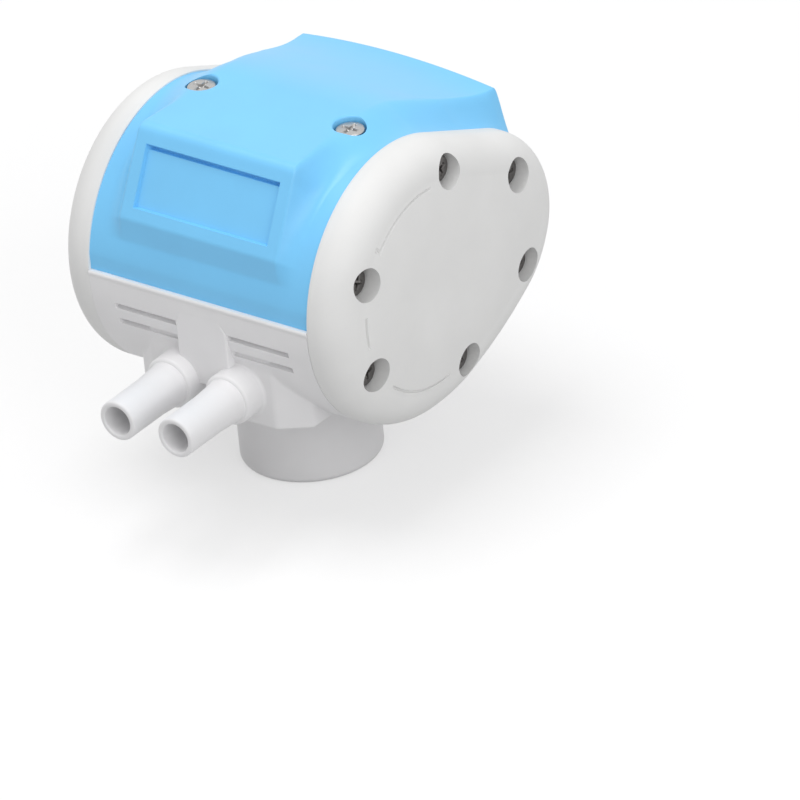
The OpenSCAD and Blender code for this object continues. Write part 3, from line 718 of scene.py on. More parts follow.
def cover_base(at, raised):
    """The plain barrel under each row, the rows of the upright wall at the visor's ends, and the
    rows of the visor's tip and of its meeting with the barrel.

    Under the raised part a row stands on the barrel point nearest to it, evened out along the
    section by a bell-shaped mean, and towards the visor on the point straight below it.
    """
    y, k = raised[:, 0], np.arange(len(at))
    table = np.linspace(0, HALF_LEN, 2400)
    skin = egg(table, LEDGE)[0]
    nearest = table[((raised[:, None] - skin[None]) ** 2).sum(-1).argmin(1)]
    lift = np.linalg.norm(raised - egg(nearest, LEDGE)[0], axis=1)
    tip = int(np.linalg.norm(raised - [VISOR_REACH, VISOR_H - VISOR_T / 2], axis=1).argmin())
    stop = tip + int(np.argmax(lift[tip:] < 0.05))
    foot = stop + int(np.argmax(y[stop:] >= VISOR_REACH))
    order = np.maximum.accumulate(nearest)
    pad = 24
    held = np.concatenate([np.full(pad, order[0]), order, np.full(pad, order[-1])])
    kernel = np.hanning(2 * pad + 1)
    eased = np.convolve(held, kernel / kernel.sum(), "valid")
    start = np.argmax(lift > 0.6)
    eased = nearest + smooth(start - 2, start + 10, k) * (eased - nearest)
    straight = np.interp(np.minimum(y, VISOR_REACH), skin[:, 0], table)
    drop = smooth(6, 26, y)
    plain_at = np.where(k <= tip, eased + drop * (straight - eased), straight[tip])
    spread_out = np.clip((k - tip) / (foot - tip), 0, 1) * 0.6
    plain_at = np.where(k > foot, nearest, plain_at + np.where(k > tip, spread_out, 0))
    plain = egg(np.maximum.accumulate(plain_at), LEDGE)[0]
    tucked = at <= at[np.argmax(raised[:, 1] > LABEL_FOOT - 1)]
    plain = np.where(tucked[:, None], raised, plain)

    wall = raised.copy()
    down = np.clip((at - at[tip]) / (at[foot] - at[tip]), 0, 1)
    hull = (k > tip) & (k <= foot)
    wall[hull, 0] = VISOR_REACH
    wall[hull, 1] = raised[tip, 1] + down[hull] * (raised[foot, 1] - raised[tip, 1])
    return plain, wall, tip, stop


def cover_grid(form):
    """The cover as a grid over X and the section's length.

    Each point lies between the plain barrel and the raised section. Its share of the raised
    section is 1 up to the flank and falls to 0 across it, as (1 - u)^p beside the label and the
    visor, which leaves a hollow fillet, and as 1 - (3u^2 - 2u^3) beside the screws. Near both
    ends the visor's underside is drawn out to an upright wall that stands on the barrel.
    """
    at, raised, across, out = cover_rows(form)
    plain, wall, tip, stop = cover_base(at, raised)
    y = raised[:, 0]
    flank_in, flank_out = np.interp(y, *FLANK_IN), np.interp(y, *FLANK_OUT)
    x = np.concatenate(
        [
            np.linspace(-END_X, END_X, 55),
            *[s * np.linspace(20, END_X, 40) for s in (-1, 1)],
            *[s * (WINDOW_W + WINDOW_EDGE) for s in (-1, 1)],
        ]
    )
    x = np.unique(np.round(x, 4))
    u = (np.abs(x)[:, None] - flank_in) / (flank_out - flank_in)
    power = np.interp(y, [0, 24], [2.0, 1.5])
    soft = np.interp(y, [-24, -10], [0.14, 0.3])
    hollow = soft_min(1.0, np.where(u < 0, 1 - 2 * u, np.clip(1 - u, 0, 1) ** power), soft)
    gentle = smooth(-12, -2, y) * (1 - smooth(16, 34, y))
    share = hollow + gentle * (1 - smooth(0, 1, u) - hollow)
    closed = smooth(23.6, 26.0, np.abs(x))[:, None, None]
    outer = plain + share[..., None] * (raised + closed * (wall - raised) - plain)

    before = np.arange(len(at)) <= tip
    visor = np.where(before, smooth(ROD_Y, VISOR_REACH, y), 1 - smooth(at[tip], at[stop], at))
    arch = form.visor_arch / MM * np.clip(1 - (x / VISOR_W) ** 2, 0, 1)
    outer[..., 1] += arch[:, None] * visor * share

    box = np.maximum(np.abs(x)[:, None] - WINDOW_W, np.abs(across) - WINDOW_H / 2)
    sunk = smooth(0.08, -0.18, box) * form.window_depth / MM
    shadow_gap = smooth(0.55, 0.35, np.abs(across - WINDOW_H / 2 + 0.5)) * smooth(-0.2, -0.6, box)
    gap_depth = 1.2
    outer -= (sunk + gap_depth * shadow_gap)[..., None] * out

    first = FRONT_R * math.asin(COVER_LINE / (FRONT_R - COVER_IN))
    last = HALF_LEN - BACK_R * math.asin(COVER_LINE / (BACK_R - COVER_IN))
    inner = egg(np.linspace(last, first, len(at)), COVER_IN)[0]
    return along_barrel(x, outer, inner)


def along_barrel(x, outer, inner):
    """Loops of the outer skin at each x and the same inner skin, in the part's frame."""
    loop = np.concatenate([outer, np.broadcast_to(inner, (len(x), *inner.shape))], 1)
    xs = np.broadcast_to(x[:, None, None], (*loop.shape[:2], 1))
    return np.concatenate([xs, loop[..., :1], loop[..., 1:] + AXIS_H], -1)


def recess_cutter(x):
    """A turned cutter for a cover screw: a flared mouth, a straight wall and a flat floor."""
    top = AXIS_H + TOP_H
    floor, past = top - RECESS_DEPTH, top + 4
    mouth = quarter_edge(RECESS_R, top, -RECESS_ROUND, steps=6)
    wall = [[RECESS_R, floor + RECESS_CORNER], [RECESS_R - RECESS_CORNER, floor]]
    profile = np.concatenate([[[RECESS_R + RECESS_ROUND, past]], mouth, wall])
    return capped(turned(profile, 64) + np.array([x, 0, 0]))


def slot_cutter(x):
    """A cutter with round ends for an intake slot, straight along Y."""
    low, high = AXIS_H + SLOT_Z[0], AXIS_H + SLOT_Z[1]
    path = [[-SLOT_HALF, low], [SLOT_HALF, low], [SLOT_HALF, high], [-SLOT_HALF, high]]
    loop = rounded_loop(path, [0.98 * SLOT_HALF] * 4, 9)
    ends = [np.full(len(loop), float(y)) for y in SLOT_Y]
    return capped(np.array([np.column_stack([loop[:, 0] + x, y, loop[:, 1]]) for y in ends]))


class PULSATOR_OT_cover(bpy.types.Operator):
    """Make the blue cover with its label frame, window, visor, intake slots and screw recesses"""

    bl_idname = "pulsator.cover"
    bl_label = "Cover"

    def execute(self, context):
        grid = cover_grid(context.scene.pulsator_form)
        mesh = make_mesh("cover", shell_data(grid, start="strip", end="strip"), sharp=35)
        blue = finishes()["cover_blue"]
        cover = add_piece("cover", mesh, blue, nodes=["top_cover"])
        cuts = [recess_cutter(side * COVER_SCREW_X) for side in (-1, 1)]
        slots = (np.arange(SLOT_COUNT) - (SLOT_COUNT - 1) / 2) * SLOT_PITCH
        cuts += [slot_cutter(x) for x in slots]
        carve(cover, make_mesh("cover_cuts", *cuts), 35)
        return {"FINISHED"}


# End caps


def cap_height(depth):
    """Height of a cap's skin over its seam at a depth in from the outline: a quarter ellipse over
    the rim's width, then a shallow dome."""
    rim = RIM_Z + (FACE_Z - RIM_Z) * np.sqrt(1 - np.clip(1 - depth / RIM_IN, 0, 1) ** 2)
    q = np.clip((depth - RIM_IN) / (BACK_R - RIM_IN), 0, 1)
    return rim + (CAP_DEPTH - FACE_Z) * (1 - (1 - q) ** 2)


def cap_grid(form, columns=288):
    """A cap as a grid round its outline, from the middle of its chamber over the rim to its face.

    Rows on the skin are the outline moved in along its normals, as far as the dome's middle, then
    shrunk towards the rod's axis. Thin arcs are sunk between the screws in front, and a short tick
    ends the upper one beside its front screw.
    """
    point, normal, swell = egg_loop(columns)
    hub = np.array([ROD_Y, 0.0])
    ray = (point - hub) / np.linalg.norm(point - hub, axis=1)[:, None]
    rows, heights = [], []
    for radius, h in (
        (6.0, CHAMBER_DEPTH),
        (CHAMBER_R - CHAMBER_ROUND, CHAMBER_DEPTH),
        (CHAMBER_R, CHAMBER_DEPTH - CHAMBER_ROUND),
        (CHAMBER_R, 0.0),
    ):
        rows.append(hub + ray * radius)
        heights.append(np.full(columns, h))
    for inset, h in ((0.3, 0.0), (0.08, 0.08), (0.0, 0.3), (0.0, RIM_Z * 0.6)):
        rows.append(point + (swell - inset) * normal)
        heights.append(np.full(columns, h))
    rim = RIM_IN * (1 - np.cos(np.linspace(0, math.pi / 2, 22)))
    line = np.linspace(LINE_IN - 1, LINE_IN + 1, 21)
    face = np.linspace(11.2, 21, 12)
    depths = np.unique(np.concatenate([rim[rim < RIM_IN], line, face]))
    skin = point[None] - depths[:, None, None] * normal[None]
    t = np.linspace(0.93, 0.06, 15)[:, None, None]
    skin = np.concatenate([skin, hub + t * (skin[-1] - hub)])
    depth = egg_depth(skin)
    away = np.linalg.norm(skin[:, :, None] - SCREW_SPOTS, axis=-1).min(-1)
    front = smooth(7.0, 5.0, skin[..., 0])
    arc = smooth(0.34, 0.2, np.abs(depth - LINE_IN)) * front
    arc = arc * smooth(LINE_AWAY, LINE_AWAY + 0.3, away)
    above = smooth(15, 16, skin[..., 1]) * smooth(-8, -10, skin[..., 0])
    tick = smooth(0.95, 0.8, np.abs(depth - LINE_IN + 0.4)) * above
    tick = tick * smooth(0.45, 0.3, np.abs(away - LINE_AWAY - 0.4))
    sunk = form.line_depth / MM * np.maximum(arc, tick)
    skin = skin + (1 - smooth(2, 20, depth))[..., None] * swell * normal
    flat = np.concatenate([np.array(rows), skin])
    high = np.concatenate([np.array(heights), cap_height(depth) - sunk])
    return np.concatenate([high[..., None] + END_X, flat[..., :1], flat[..., 1:] + AXIS_H], -1)


def counterbore_cutter(side, spot):
    """A turned cutter along X for one cap screw: a straight hole, bevelled at its floor."""
    bevel, past = 0.4, 30
    wall = [
        [COUNTERBORE_R, past], [COUNTERBORE_R, SCREW_FLOOR + bevel],
        [COUNTERBORE_R - bevel, SCREW_FLOOR],
    ]
    return capped(along_x(turned(wall, 56), side, spot[0], spot[1] + AXIS_H, END_X))


class PULSATOR_OT_caps(bpy.types.Operator):
    """Make both end caps with their round rims, counterbores and arcs"""

    bl_idname = "pulsator.caps"
    bl_label = "End caps"

    def execute(self, context):
        grid = cap_grid(context.scene.pulsator_form)
        for name, side in SIDES:
            points = grid * np.array([side, 1, 1])
            mesh = make_mesh(name + "_cap", capped(points), sharp=30)
            grey = finishes()["cap_grey"]
            cap = add_piece(name + "_cap", mesh, grey, nodes=[name + "_end_cap"])
            cuts = [counterbore_cutter(side, spot) for spot in SCREW_SPOTS]
            carve(cap, make_mesh("cap_cuts", *cuts), 30)
        return {"FINISHED"}


# Barrel, block, panel, neck and nipples


def barrel_line(s, inset):
    """Points of the section at lengths from its front: on the upper half where s is below 0 or
    past the back, and on the swollen lower half between."""
    mirrored = np.where(s > HALF_LEN, 2 * HALF_LEN - s, np.abs(s))
    point, normal = egg(np.minimum(mirrored, HALF_LEN), inset)
    sign = np.where((s < 0) | (s > HALF_LEN), 1.0, -1.0)
    point = point + np.where(sign < 0, lower_swell(mirrored), 0)[:, None] * normal
    return point * np.stack([np.ones_like(sign), sign], -1)


def barrel_grid(form):
    """The lower barrel as a grid over X and a loop round its wall, with the grooves sunk in front.

    The loop goes along the outer skin from the front ledge to the back one, over the ledge and
    back along the inner skin. A low bead runs under the cover in front.
    """
    low = FRONT_R * math.asin(COVER_LINE / FRONT_R)
    end = HALF_LEN + BACK_R * math.asin(COVER_LINE / BACK_R)
    band = FRONT_R * np.arcsin(np.linspace(4.4, 11.4, 44) / FRONT_R)
    lip = np.linspace(-low, 0.5 * low, 22)
    at = np.unique(np.concatenate([np.linspace(-low, end, 210), band, lip]))
    outer, inner = barrel_line(at, 0.0), barrel_line(at[::-1], BARREL_WALL)
    near_end = np.linspace(-0.5, 0.5, 7)
    x = [s * (e + near_end) for s in (-1, 1) for e in GROOVE_ENDS]
    x = np.unique(np.round(np.concatenate([np.linspace(-END_X, END_X, 49), *x]), 4))
    near = np.abs(-outer[:, 1:] - GROOVE_DROP).min(1)
    front = outer[:, 0] < FRONT_Y
    side = np.maximum(GROOVE_ENDS[0] - np.abs(x), np.abs(x) - GROOVE_ENDS[1])
    depth = smooth(GROOVE_HALF + 0.06, GROOVE_HALF - 0.14, near) * front
    depth = depth * smooth(0.1, -0.35, side)[:, None] * form.groove_depth / MM
    bead = smooth(0.9, 1.7, outer[:, 1]) * smooth(COVER_LINE + 0.1, COVER_LINE - 0.5, outer[:, 1])
    skin = np.broadcast_to(outer, (len(x), *outer.shape)).copy()
    skin[..., 0] += depth - BEAD_H * bead * front
    return along_barrel(x, skin, inner)


def rooted_wall(outline, normal, bottom, fillet):
    """Rows of a wall that stands up from an outline to the barrel and flares into it.

    From each point the wall goes straight up, then along a quadratic curve whose ends are on the
    wall and on the barrel's underside one fillet further out.
    """
    top = under_barrel(outline[:, 1])
    reach = np.clip(0.5 * (top - bottom), 0, fillet)[:, None]
    far = outline + normal * reach
    b = np.concatenate([outline, np.maximum(top, bottom + 0.01)[:, None]], 1)
    a = b - np.concatenate([np.zeros_like(outline), reach], 1)
    c = np.concatenate([far, np.maximum(under_barrel(far[:, 1]), bottom + 0.01)[:, None]], 1)
    t = np.linspace(0, 1, 8)[:, None, None]
    flare = (1 - t) ** 2 * a + 2 * t * (1 - t) * b + t**2 * c
    tuck = c + np.concatenate([-normal * 1.2, np.full((len(outline), 1), 2.2)], 1)
    return np.concatenate([flare, tuck[None]])


def outline_normals(loop):
    """Outward normals of a closed loop that goes round anticlockwise, from its chords."""
    chord = np.roll(loop, -1, 0) - np.roll(loop, 1, 0)
    normal = np.stack([chord[:, 1], -chord[:, 0]], -1)
    return normal / np.linalg.norm(normal, axis=1)[:, None]


def face_rows(loop, normal, edge):
    """Rows (plan, height) of a flat face, from near its middle out and round a quarter circle at
    its edge to the loop."""
    middle, inner = loop.mean(0), loop - normal * edge
    rows = [(middle + k * (inner - middle), 0.0) for k in (0.3, 0.65, 0.9)]
    for a in np.linspace(0, math.pi / 2, 6):
        rows.append((loop - normal * edge * (1 - math.sin(a)), edge * (1 - math.cos(a))))
    return rows


def block_grid(form):
    """The nipple block: a plan with bevelled corners, a rounded lower edge and a flared root."""
    loop = rounded_loop(BLOCK_PLAN, [1.0, 1.0, 1.4, 1.4, 1.4, 1.4])
    loop = resample(loop, step=0.7, closed=True)
    normal = outline_normals(loop)
    rows = [
        np.column_stack([plan, np.full(len(loop), BLOCK_Z + h)])
        for plan, h in face_rows(loop, normal, BLOCK_EDGE)
    ]
    wall = rooted_wall(loop, normal, BLOCK_Z + BLOCK_EDGE, 0.45 * form.root_fillet / MM)
    return np.concatenate([np.array(rows), wall])


def neck_grid(form, columns=144):
    """The neck: a socket with its seal's groove, a rounded foot, and a wall that flares into the
    barrel all round."""
    u = np.linspace(0, 2 * math.pi, columns, endpoint=False)
    ring = np.stack([np.cos(u), np.sin(u)], -1)
    socket = [
        (VACUUM_R, 22.0), (VACUUM_R, SOCKET_TOP), (SEAL_R, SOCKET_TOP), (SEAL_R, SOCKET_DEPTH),
        (SOCKET_R, SOCKET_DEPTH), (SOCKET_R, 0.6), (SOCKET_R + 0.15, 0.15), (SOCKET_R + 0.6, 0.0),
    ]
    foot = quarter_edge(NECK_R, 0.0, FOOT_ROUND, steps=7)
    rows = turned(np.concatenate([socket, foot]), columns)
    wall = rooted_wall(ring * NECK_R, ring, 2.0, form.root_fillet / MM)
    return np.concatenate([rows, wall])


def nipple_profile():
    """(r, y) from the bore's inner end round the tip, along the stem, over the collar and its
    flare to the end of the spigot."""
    bore = [
        (BORE_R, SPIGOT_Y), (BORE_R, -40.0), (BORE_R, TIP_Y + 0.4), (BORE_R + 0.1, TIP_Y + 0.15),
        (BORE_R + 0.3, TIP_Y),
    ]
    tip = quarter_edge(NIPPLE_R, TIP_Y, 0.6)
    stem = [(NIPPLE_R, -52), (NIPPLE_R, -46)]
    root = quarter_root(NIPPLE_R + 0.4, COLLAR_Y - 0.5, 0.5)[:3]
    collar = quarter_edge(COLLAR_R, COLLAR_Y, 0.9)
    flare = quarter_root(COLLAR_R, FLARE_Y, 0.8)
    spigot = [(6.2, -32.2), (4.9, SPIGOT_Y)]
    return np.concatenate([bore, tip, stem, root, collar, flare, spigot])


def panel_grid():
    """The raised panel between the grooves: a rounded front face on straight sides."""
    half, high, cut = PANEL_HALF, PANEL_TOP, PANEL_SHOULDER
    path = [
        [-half, NIPPLE_Z], [half, NIPPLE_Z], [half, high - 2 * cut], [half - cut, high],
        [cut - half, high], [-half, high - 2 * cut],
    ]
    loop = resample(rounded_loop(path, [1] * 6), step=0.8, closed=True)
    face = face_rows(loop, outline_normals(loop), PANEL_EDGE)
    rows = [(plan, PANEL_FRONT + h) for plan, h in face]
    rows.append((loop, PANEL_BACK))
    return np.array([np.column_stack([q[:, 0], np.full(len(q), y), q[:, 1]]) for q, y in rows])


def boss_profile():
    """(r, y) of the rate screw's boss, from its seal pocket round its edge to its root."""
    pocket = [
        (2.55, BOSS_FOOT), (2.55, SEAL_FLOOR), (3.9, SEAL_FLOOR), (3.9, RATE_Y - 0.3), (4.2, RATE_Y)
    ]
    edge = quarter_edge(BOSS_R, RATE_Y, 0.7, way=-1)
    root = quarter_root(BOSS_R, BOSS_ROOT, 1.4, way=-1)
    return np.concatenate([pocket, edge, root, [(6.0, BOSS_FOOT)]])


def inlet_cutter(side):
    """The way in behind a nipple: the hole for its spigot, then its bore, turned along Y."""
    profile = [
        (SPIGOT_R, -40), (SPIGOT_R, SPIGOT_Y), (BORE_R, SPIGOT_Y), (BORE_R, PORT_Y + BORE_R)
    ]
    return capped(along_y(turned(profile, 48), side * NIPPLE_X, NIPPLE_Z))


def stem_cutter():
    """The hole for the rate screw's stem, turned along Y."""
    return capped(along_y(turned([(STEM_HOLE_R, 34.3), (STEM_HOLE_R, 55)], 48), 0, RATE_Z))


class PULSATOR_OT_body(bpy.types.Operator):
    """Make the barrel, nipple block, panel, neck, nipples and the rate screw's boss"""

    bl_idname = "pulsator.body"
    bl_label = "Body"

    def execute(self, context):
        form = context.scene.pulsator_form
        white = finishes()["moulding_white"]
        barrel = shell_data(barrel_grid(form), start="strip", end="strip")
        boss = shell_data(along_y(turned(boss_profile(), 72), 0, RATE_Z), wrap_rows=True)
        inlets = [inlet_cutter(-1), inlet_cutter(1)]
        for name, data, cuts in (
            ("barrel", barrel, [*inlets, stem_cutter()]),
            ("nipple_block", capped(block_grid(form)), inlets),
            ("neck", capped(neck_grid(form)), []),
            ("panel", capped(panel_grid()), inlets),
            ("rate_boss", boss, []),
        ):
            mesh = make_mesh(name, data, sharp=38)
            piece = add_piece(name, mesh, white, nodes=["body"])
            if cuts:
                carve(piece, make_mesh(name + "_cuts", *cuts), 38, folded=name == "nipple_block")
        nipple = turned(nipple_profile())
        for name, side in SIDES:
            tube = shell_data(along_y(nipple, side * NIPPLE_X, NIPPLE_Z), wrap_rows=True)
            mesh = make_mesh(name + "_pulse_nipple", tube, sharp=38)
            add_piece(name + "_pulse_nipple", mesh, white, nodes=[name + "_nipple"])
        return {"FINISHED"}


# Valve chest


def chest_grid(columns=240):
    """The chest: the section drawn in and run from end to end, cut level at the valve deck
    between the two flanges."""
    point, normal, _ = egg_loop(columns)
    loop = point - CHEST_IN * normal
    step, end = 0.01, END_X - 0.02
    x = np.array([-end, -CHEST_X - step, -CHEST_X + step, CHEST_X - step, CHEST_X + step, end])
    top = np.where(np.abs(x) < CHEST_X, DECK_H, FRONT_R)[:, None]
    z = np.minimum(loop[:, 1], top) + AXIS_H
    y = np.broadcast_to(loop[:, 0], z.shape)
    return np.stack([np.broadcast_to(x[:, None], z.shape), y, z], -1)


def box_cutter(low, high):
    """A box between two corners, as two rings of four points."""
    corner = np.array([[0, 0], [1, 0], [1, 1], [0, 1]])
    low, high = np.array(low, float), np.array(high, float)
    plan = low[:2] + corner * (high - low)[:2]
    return capped(np.array([np.column_stack([plan, np.full(4, z)]) for z in (low[2], high[2])]))


def bore_cutter(radius, low, high, x, y):
    """A round cutter about +Z at x and y."""
    return capped(turned([(radius, low), (radius, high)], 48) + np.array([x, y, 0]))


def chamber_cutter(side, profile):
    """A turned cutter about the rod's axis, along X."""
    return capped(along_x(turned(profile), side, ROD_Y, AXIS_H))


class PULSATOR_OT_chest(bpy.types.Operator):
    """Make the valve chest with its deck, well, ports, bush bores and diaphragm chambers"""

    bl_idname = "pulsator.chest"
    bl_label = "Valve chest"

    def execute(self, context):
        mesh = make_mesh("valve_chest", capped(chest_grid()), sharp=30)
        white = finishes()["moulding_white"]
        chest = add_piece("valve_chest", mesh, white, nodes=["body"])
        past = 1.0
        above = AXIS_H + DECK_H + past
        chamber = [
            (POCKET_R, END_X + past), (POCKET_R, POCKET_X), (CHAMBER_R, POCKET_X),
            (CHAMBER_R, CHAMBER_X),
        ]
        wide = [box_cutter((-WELL_X, WELL_FRONT, WELL_Z), (WELL_X, WELL_BACK, above))]
        wide.append(stem_cutter())
        for side in (-1, 1):
            wide.append(inlet_cutter(side))
            wide.append(chamber_cutter(side, chamber))
        for y in (PORT_Y, PILOT_Y):
            low, high = (-LEAF_X, y - LEAF_HALF, LEAF_Z[0]), (LEAF_X, y + LEAF_HALF, LEAF_Z[1])
            wide.append(box_cutter(low, high))
        carve(chest, make_mesh("chest_spaces", *wide), 30)
        fine = [chamber_cutter(1, [(BUSH_R, -CHAMBER_X - past), (BUSH_R, CHAMBER_X + past)])]
        fine.append(bore_cutter(VACUUM_R, 10, above, 0, PORT_Y))
        fine += [bore_cutter(PORT_R, NIPPLE_Z, above, x, PORT_Y) for x in (-NIPPLE_X, NIPPLE_X)]
        fine += [bore_cutter(PILOT_R, PILOT_Z, above, x, PILOT_Y) for x in (-PILOT_X, 0, PILOT_X)]
        carve(chest, make_mesh("chest_bores", *fine), 30)
        return {"FINISHED"}


# Screws


def screw_grid(head_r, head_h, shank_r, shank_len, cross_r, cross_w, columns=96):
    """A screw about +Z with its seat at 0: a shank, and a domed head with a sunk cross.

    The head's top is a dome less the cross, whose depth falls towards the ends of its arms.
    """
    u = np.linspace(0, 2 * math.pi, columns, endpoint=False)
    edge = 0.35
    t = np.linspace(0, math.pi / 2, 5)
    side = [(shank_r, -shank_len), (shank_r, -0.2), (shank_r, 0), (head_r - 0.1, 0), (head_r, 0.1)]
    side += [(head_r - edge * (1 - math.cos(a)), head_h - edge * (1 - math.sin(a))) for a in t]
    side = turned(side, columns)
    rho = np.linspace(head_r - edge - 0.02, 0.04, 30)[:, None]
    a, b = rho * np.cos(u), rho * np.sin(u)
    along, over = np.abs(a), np.abs(b)
    arm = np.minimum(
        np.maximum(along - cross_r, over - cross_w), np.maximum(over - cross_r, along - cross_w)
    )
    sink = smooth(0.1, -0.16, arm) * (1.1 - 0.55 * rho / cross_r).clip(0.3)
    dome = 0.16 * (1 - (rho / head_r) ** 2)
    top = np.stack([a, b, head_h + dome - sink], -1)
    return np.concatenate([side, top])


class PULSATOR_OT_screws(bpy.types.Operator):
    """Make the cap screws and the cover screws with their sunk crosses"""

    bl_idname = "pulsator.screws"
    bl_label = "Screws"

    def execute(self, context):
        steel, dark = finishes()["screw_steel"], finishes()["bolt_steel"]
        cap = screw_grid(
            head_r=3.4, head_h=2.6, shank_r=1.75, shank_len=10, cross_r=1.9, cross_w=0.42
        )
        cover = screw_grid(
            head_r=3.5, head_h=2.0, shank_r=1.5, shank_len=11, cross_r=2.2, cross_w=0.45
        )
        for name, side in SIDES:
            for i, (y, z) in enumerate(SCREW_SPOTS, 1):
                turn = 1.1 * i - 0.7
                c, s = math.cos(turn), math.sin(turn)
                spun = cap @ np.array([[c, s, 0], [-s, c, 0], [0, 0, 1]])
                grid = along_x(spun, side, y, z + AXIS_H, END_X + SCREW_FLOOR)
                label = f"{name}_cap_bolt_{i}"
                mesh = make_mesh(label, capped(grid))
                ring_uv(mesh, (0, y, z + AXIS_H), 0)
                add_piece(label, mesh, dark, nodes=[f"{name}_cap_screw_{i}"])
            middle = np.array([side * COVER_SCREW_X, 0, AXIS_H + TOP_H - RECESS_DEPTH])
            mesh = make_mesh(name + "_cover_bolt", capped(cover + middle))
            ring_uv(mesh, middle, 2)
            add_piece(name + "_cover_bolt", mesh, steel, nodes=[name + "_cover_screw"])
        return {"FINISHED"}


class PULSATOR_OT_rate_knob(bpy.types.Operator):
    """Make the rate screw with its fluted knob and driver slot"""

    bl_idname = "pulsator.rate_knob"
    bl_label = "Rate screw"

    def execute(self, context):
        columns, bevel, base = 192, 0.3, RATE_Y + 0.3
        u = np.linspace(0, 2 * math.pi, columns, endpoint=False)
        side = [
            (STEM_R, RATE_Y - STEM_LEN), (STEM_R, base), (KNOB_R - bevel, base),
            (KNOB_R, base + bevel), (KNOB_R, base + KNOB_H - 0.6),
            (KNOB_R - bevel, base + KNOB_H - 0.2),
        ]
        grid = turned(side, columns)
        fluted = np.array([0, 0, 0, 1, 1, 0])[:, None]
        grid[..., :2] *= (1 + FLUTE_DEPTH * np.cos(FLUTES * u) * fluted)[..., None]
        top_r = KNOB_R - 0.4
        rho = np.linspace(top_r, 0.05, 22)[:, None]
        a, b = rho * np.cos(u), rho * np.sin(u)
        slot = 1.3 * smooth(0.6, 0.45, np.abs(b))
        top = np.stack([a, b, base + KNOB_H - 0.2 * (rho / top_r) ** 2 - slot], -1)
        grid = along_y(np.concatenate([grid, top]), 0, RATE_Z)
        mesh = make_mesh("rate_knob", capped(grid), sharp=32)
        ring_uv(mesh, (0, 0, RATE_Z), 1)
        steel = finishes()["screw_steel"]
        add_piece("rate_knob", mesh, steel, nodes=["rate_screw"], body="rate_screw")
        return {"FINISHED"}


# Diaphragms and the mechanism


class PULSATOR_OT_diaphragms(bpy.types.Operator):
    """Make both diaphragms: a clamped rim, a rolled web and a flat between the plates"""

    bl_idname = "pulsator.diaphragms"
    bl_label = "Diaphragms"

    def execute(self, context):
        flat, rolled = np.linspace(2.1, 12.6, 6), np.linspace(12.9, 18.6, 24)
        r = np.concatenate([flat, rolled, np.linspace(19, 22.2, 5)])
        x = WEB_X + (RIM_X - WEB_X) * smooth(12.6, 18.7, r)
        grid = turned(np.stack([r, x], -1), 128)
        for name, side in SIDES:
            verts, faces = shell_data(along_x(grid, side, ROD_Y, AXIS_H))
            mesh = bpy.data.meshes.new(name + "_web")
            mesh.from_pydata((verts * MM).tolist(), [], faces)
            finish_shading(mesh, 40)
            mesh.materials.append(finishes()["black_rubber"])
            web = bpy.data.objects.new(name + "_web", mesh)
            context.scene.collection.objects.link(web)
            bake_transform(web)
            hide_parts(name + "_diaphragm")
            wall = web.modifiers.new("wall", "SOLIDIFY")
            wall.thickness, wall.offset = WEB_T * MM, 0
        return {"FINISHED"}


class PULSATOR_OT_mechanism(bpy.types.Operator):
    """Give the valve, rod and seals inside the housing their materials"""

    bl_idname = "pulsator.mechanism"
    bl_label = "Mechanism"

    def execute(self, context):
        made = finishes()
        worn = {
            "black_rubber": ("port_gasket", "rate_screw_seal", "neck_seal"),
            "plate_grey": ("port_plate", "filter_grid"),
            "slide_ivory": ("main_slide", "pilot_slide"),
            "filter_felt": ("air_filter",),
            "turned_brass": ("slide_yoke", "left_rod_bush", "right_rod_bush"),
        }
        finish_of = {node: finish for finish, nodes in worn.items() for node in nodes}
        for name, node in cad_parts.items():
            if not node.hide_render:
                node.data.materials.clear()
                node.data.materials.append(made[finish_of.get(name, "rod_steel")])
        return {"FINISHED"}


# Stage: how far the aim is right of the axis and below it, and what the lamps face

AIM_RIGHT, AIM_DOWN = 25.6, 36.6
LIT_POINT = (0, 0, 0.05)


def camera_axes(stage):
    """Right, up and back of the camera, from its azimuth, elevation and roll."""
    a, e = stage.azimuth, stage.elevation
    back = np.array([math.sin(a) * math.cos(e), -math.cos(a) * math.cos(e), math.sin(e)])
    right = np.array([math.cos(a), math.sin(a), 0])
    up = np.cross(back, right)
    c, s = math.cos(stage.roll), math.sin(stage.roll)
    return c * right + s * up, c * up - s * right, back


def seen_rays(tree):
    """1 for rays that show the background: from the camera, off gloss and through glass."""
    rays = tree.nodes.new("ShaderNodeLightPath").outputs
    seen = rays["Is Camera Ray"]
    for kind in ("Is Glossy Ray", "Is Transmission Ray"):
        either = tree.nodes.new("ShaderNodeMath")
        either.operation = "MAXIMUM"
        tree.links.new(seen, either.inputs[0])
        tree.links.new(rays[kind], either.inputs[1])
        seen = either.outputs["Value"]
    return seen


def add_camera(scene, stage):
    """The camera at the photograph's angle, as far off as its lens needs for the picture's width.

    The object sits left of and above the middle of the picture.
    """
    right, up, back = camera_axes(stage)
    aim = (np.array([0, 0, AXIS_H]) + AIM_RIGHT * right - AIM_DOWN * up) * MM
    lens = bpy.data.cameras.new("camera")
    lens.lens, lens.sensor_width, lens.clip_end = stage.lens, 36.0, 50.0
    camera = bpy.data.objects.new("camera", lens)
    scene.collection.objects.link(camera)
    away = stage.frame_width * stage.lens / lens.sensor_width
    turn = Matrix(np.column_stack([right, up, back]).tolist()).to_4x4()
    camera.matrix_world = Matrix.Translation(Vector(aim + back * away)) @ turn
    scene.camera = camera


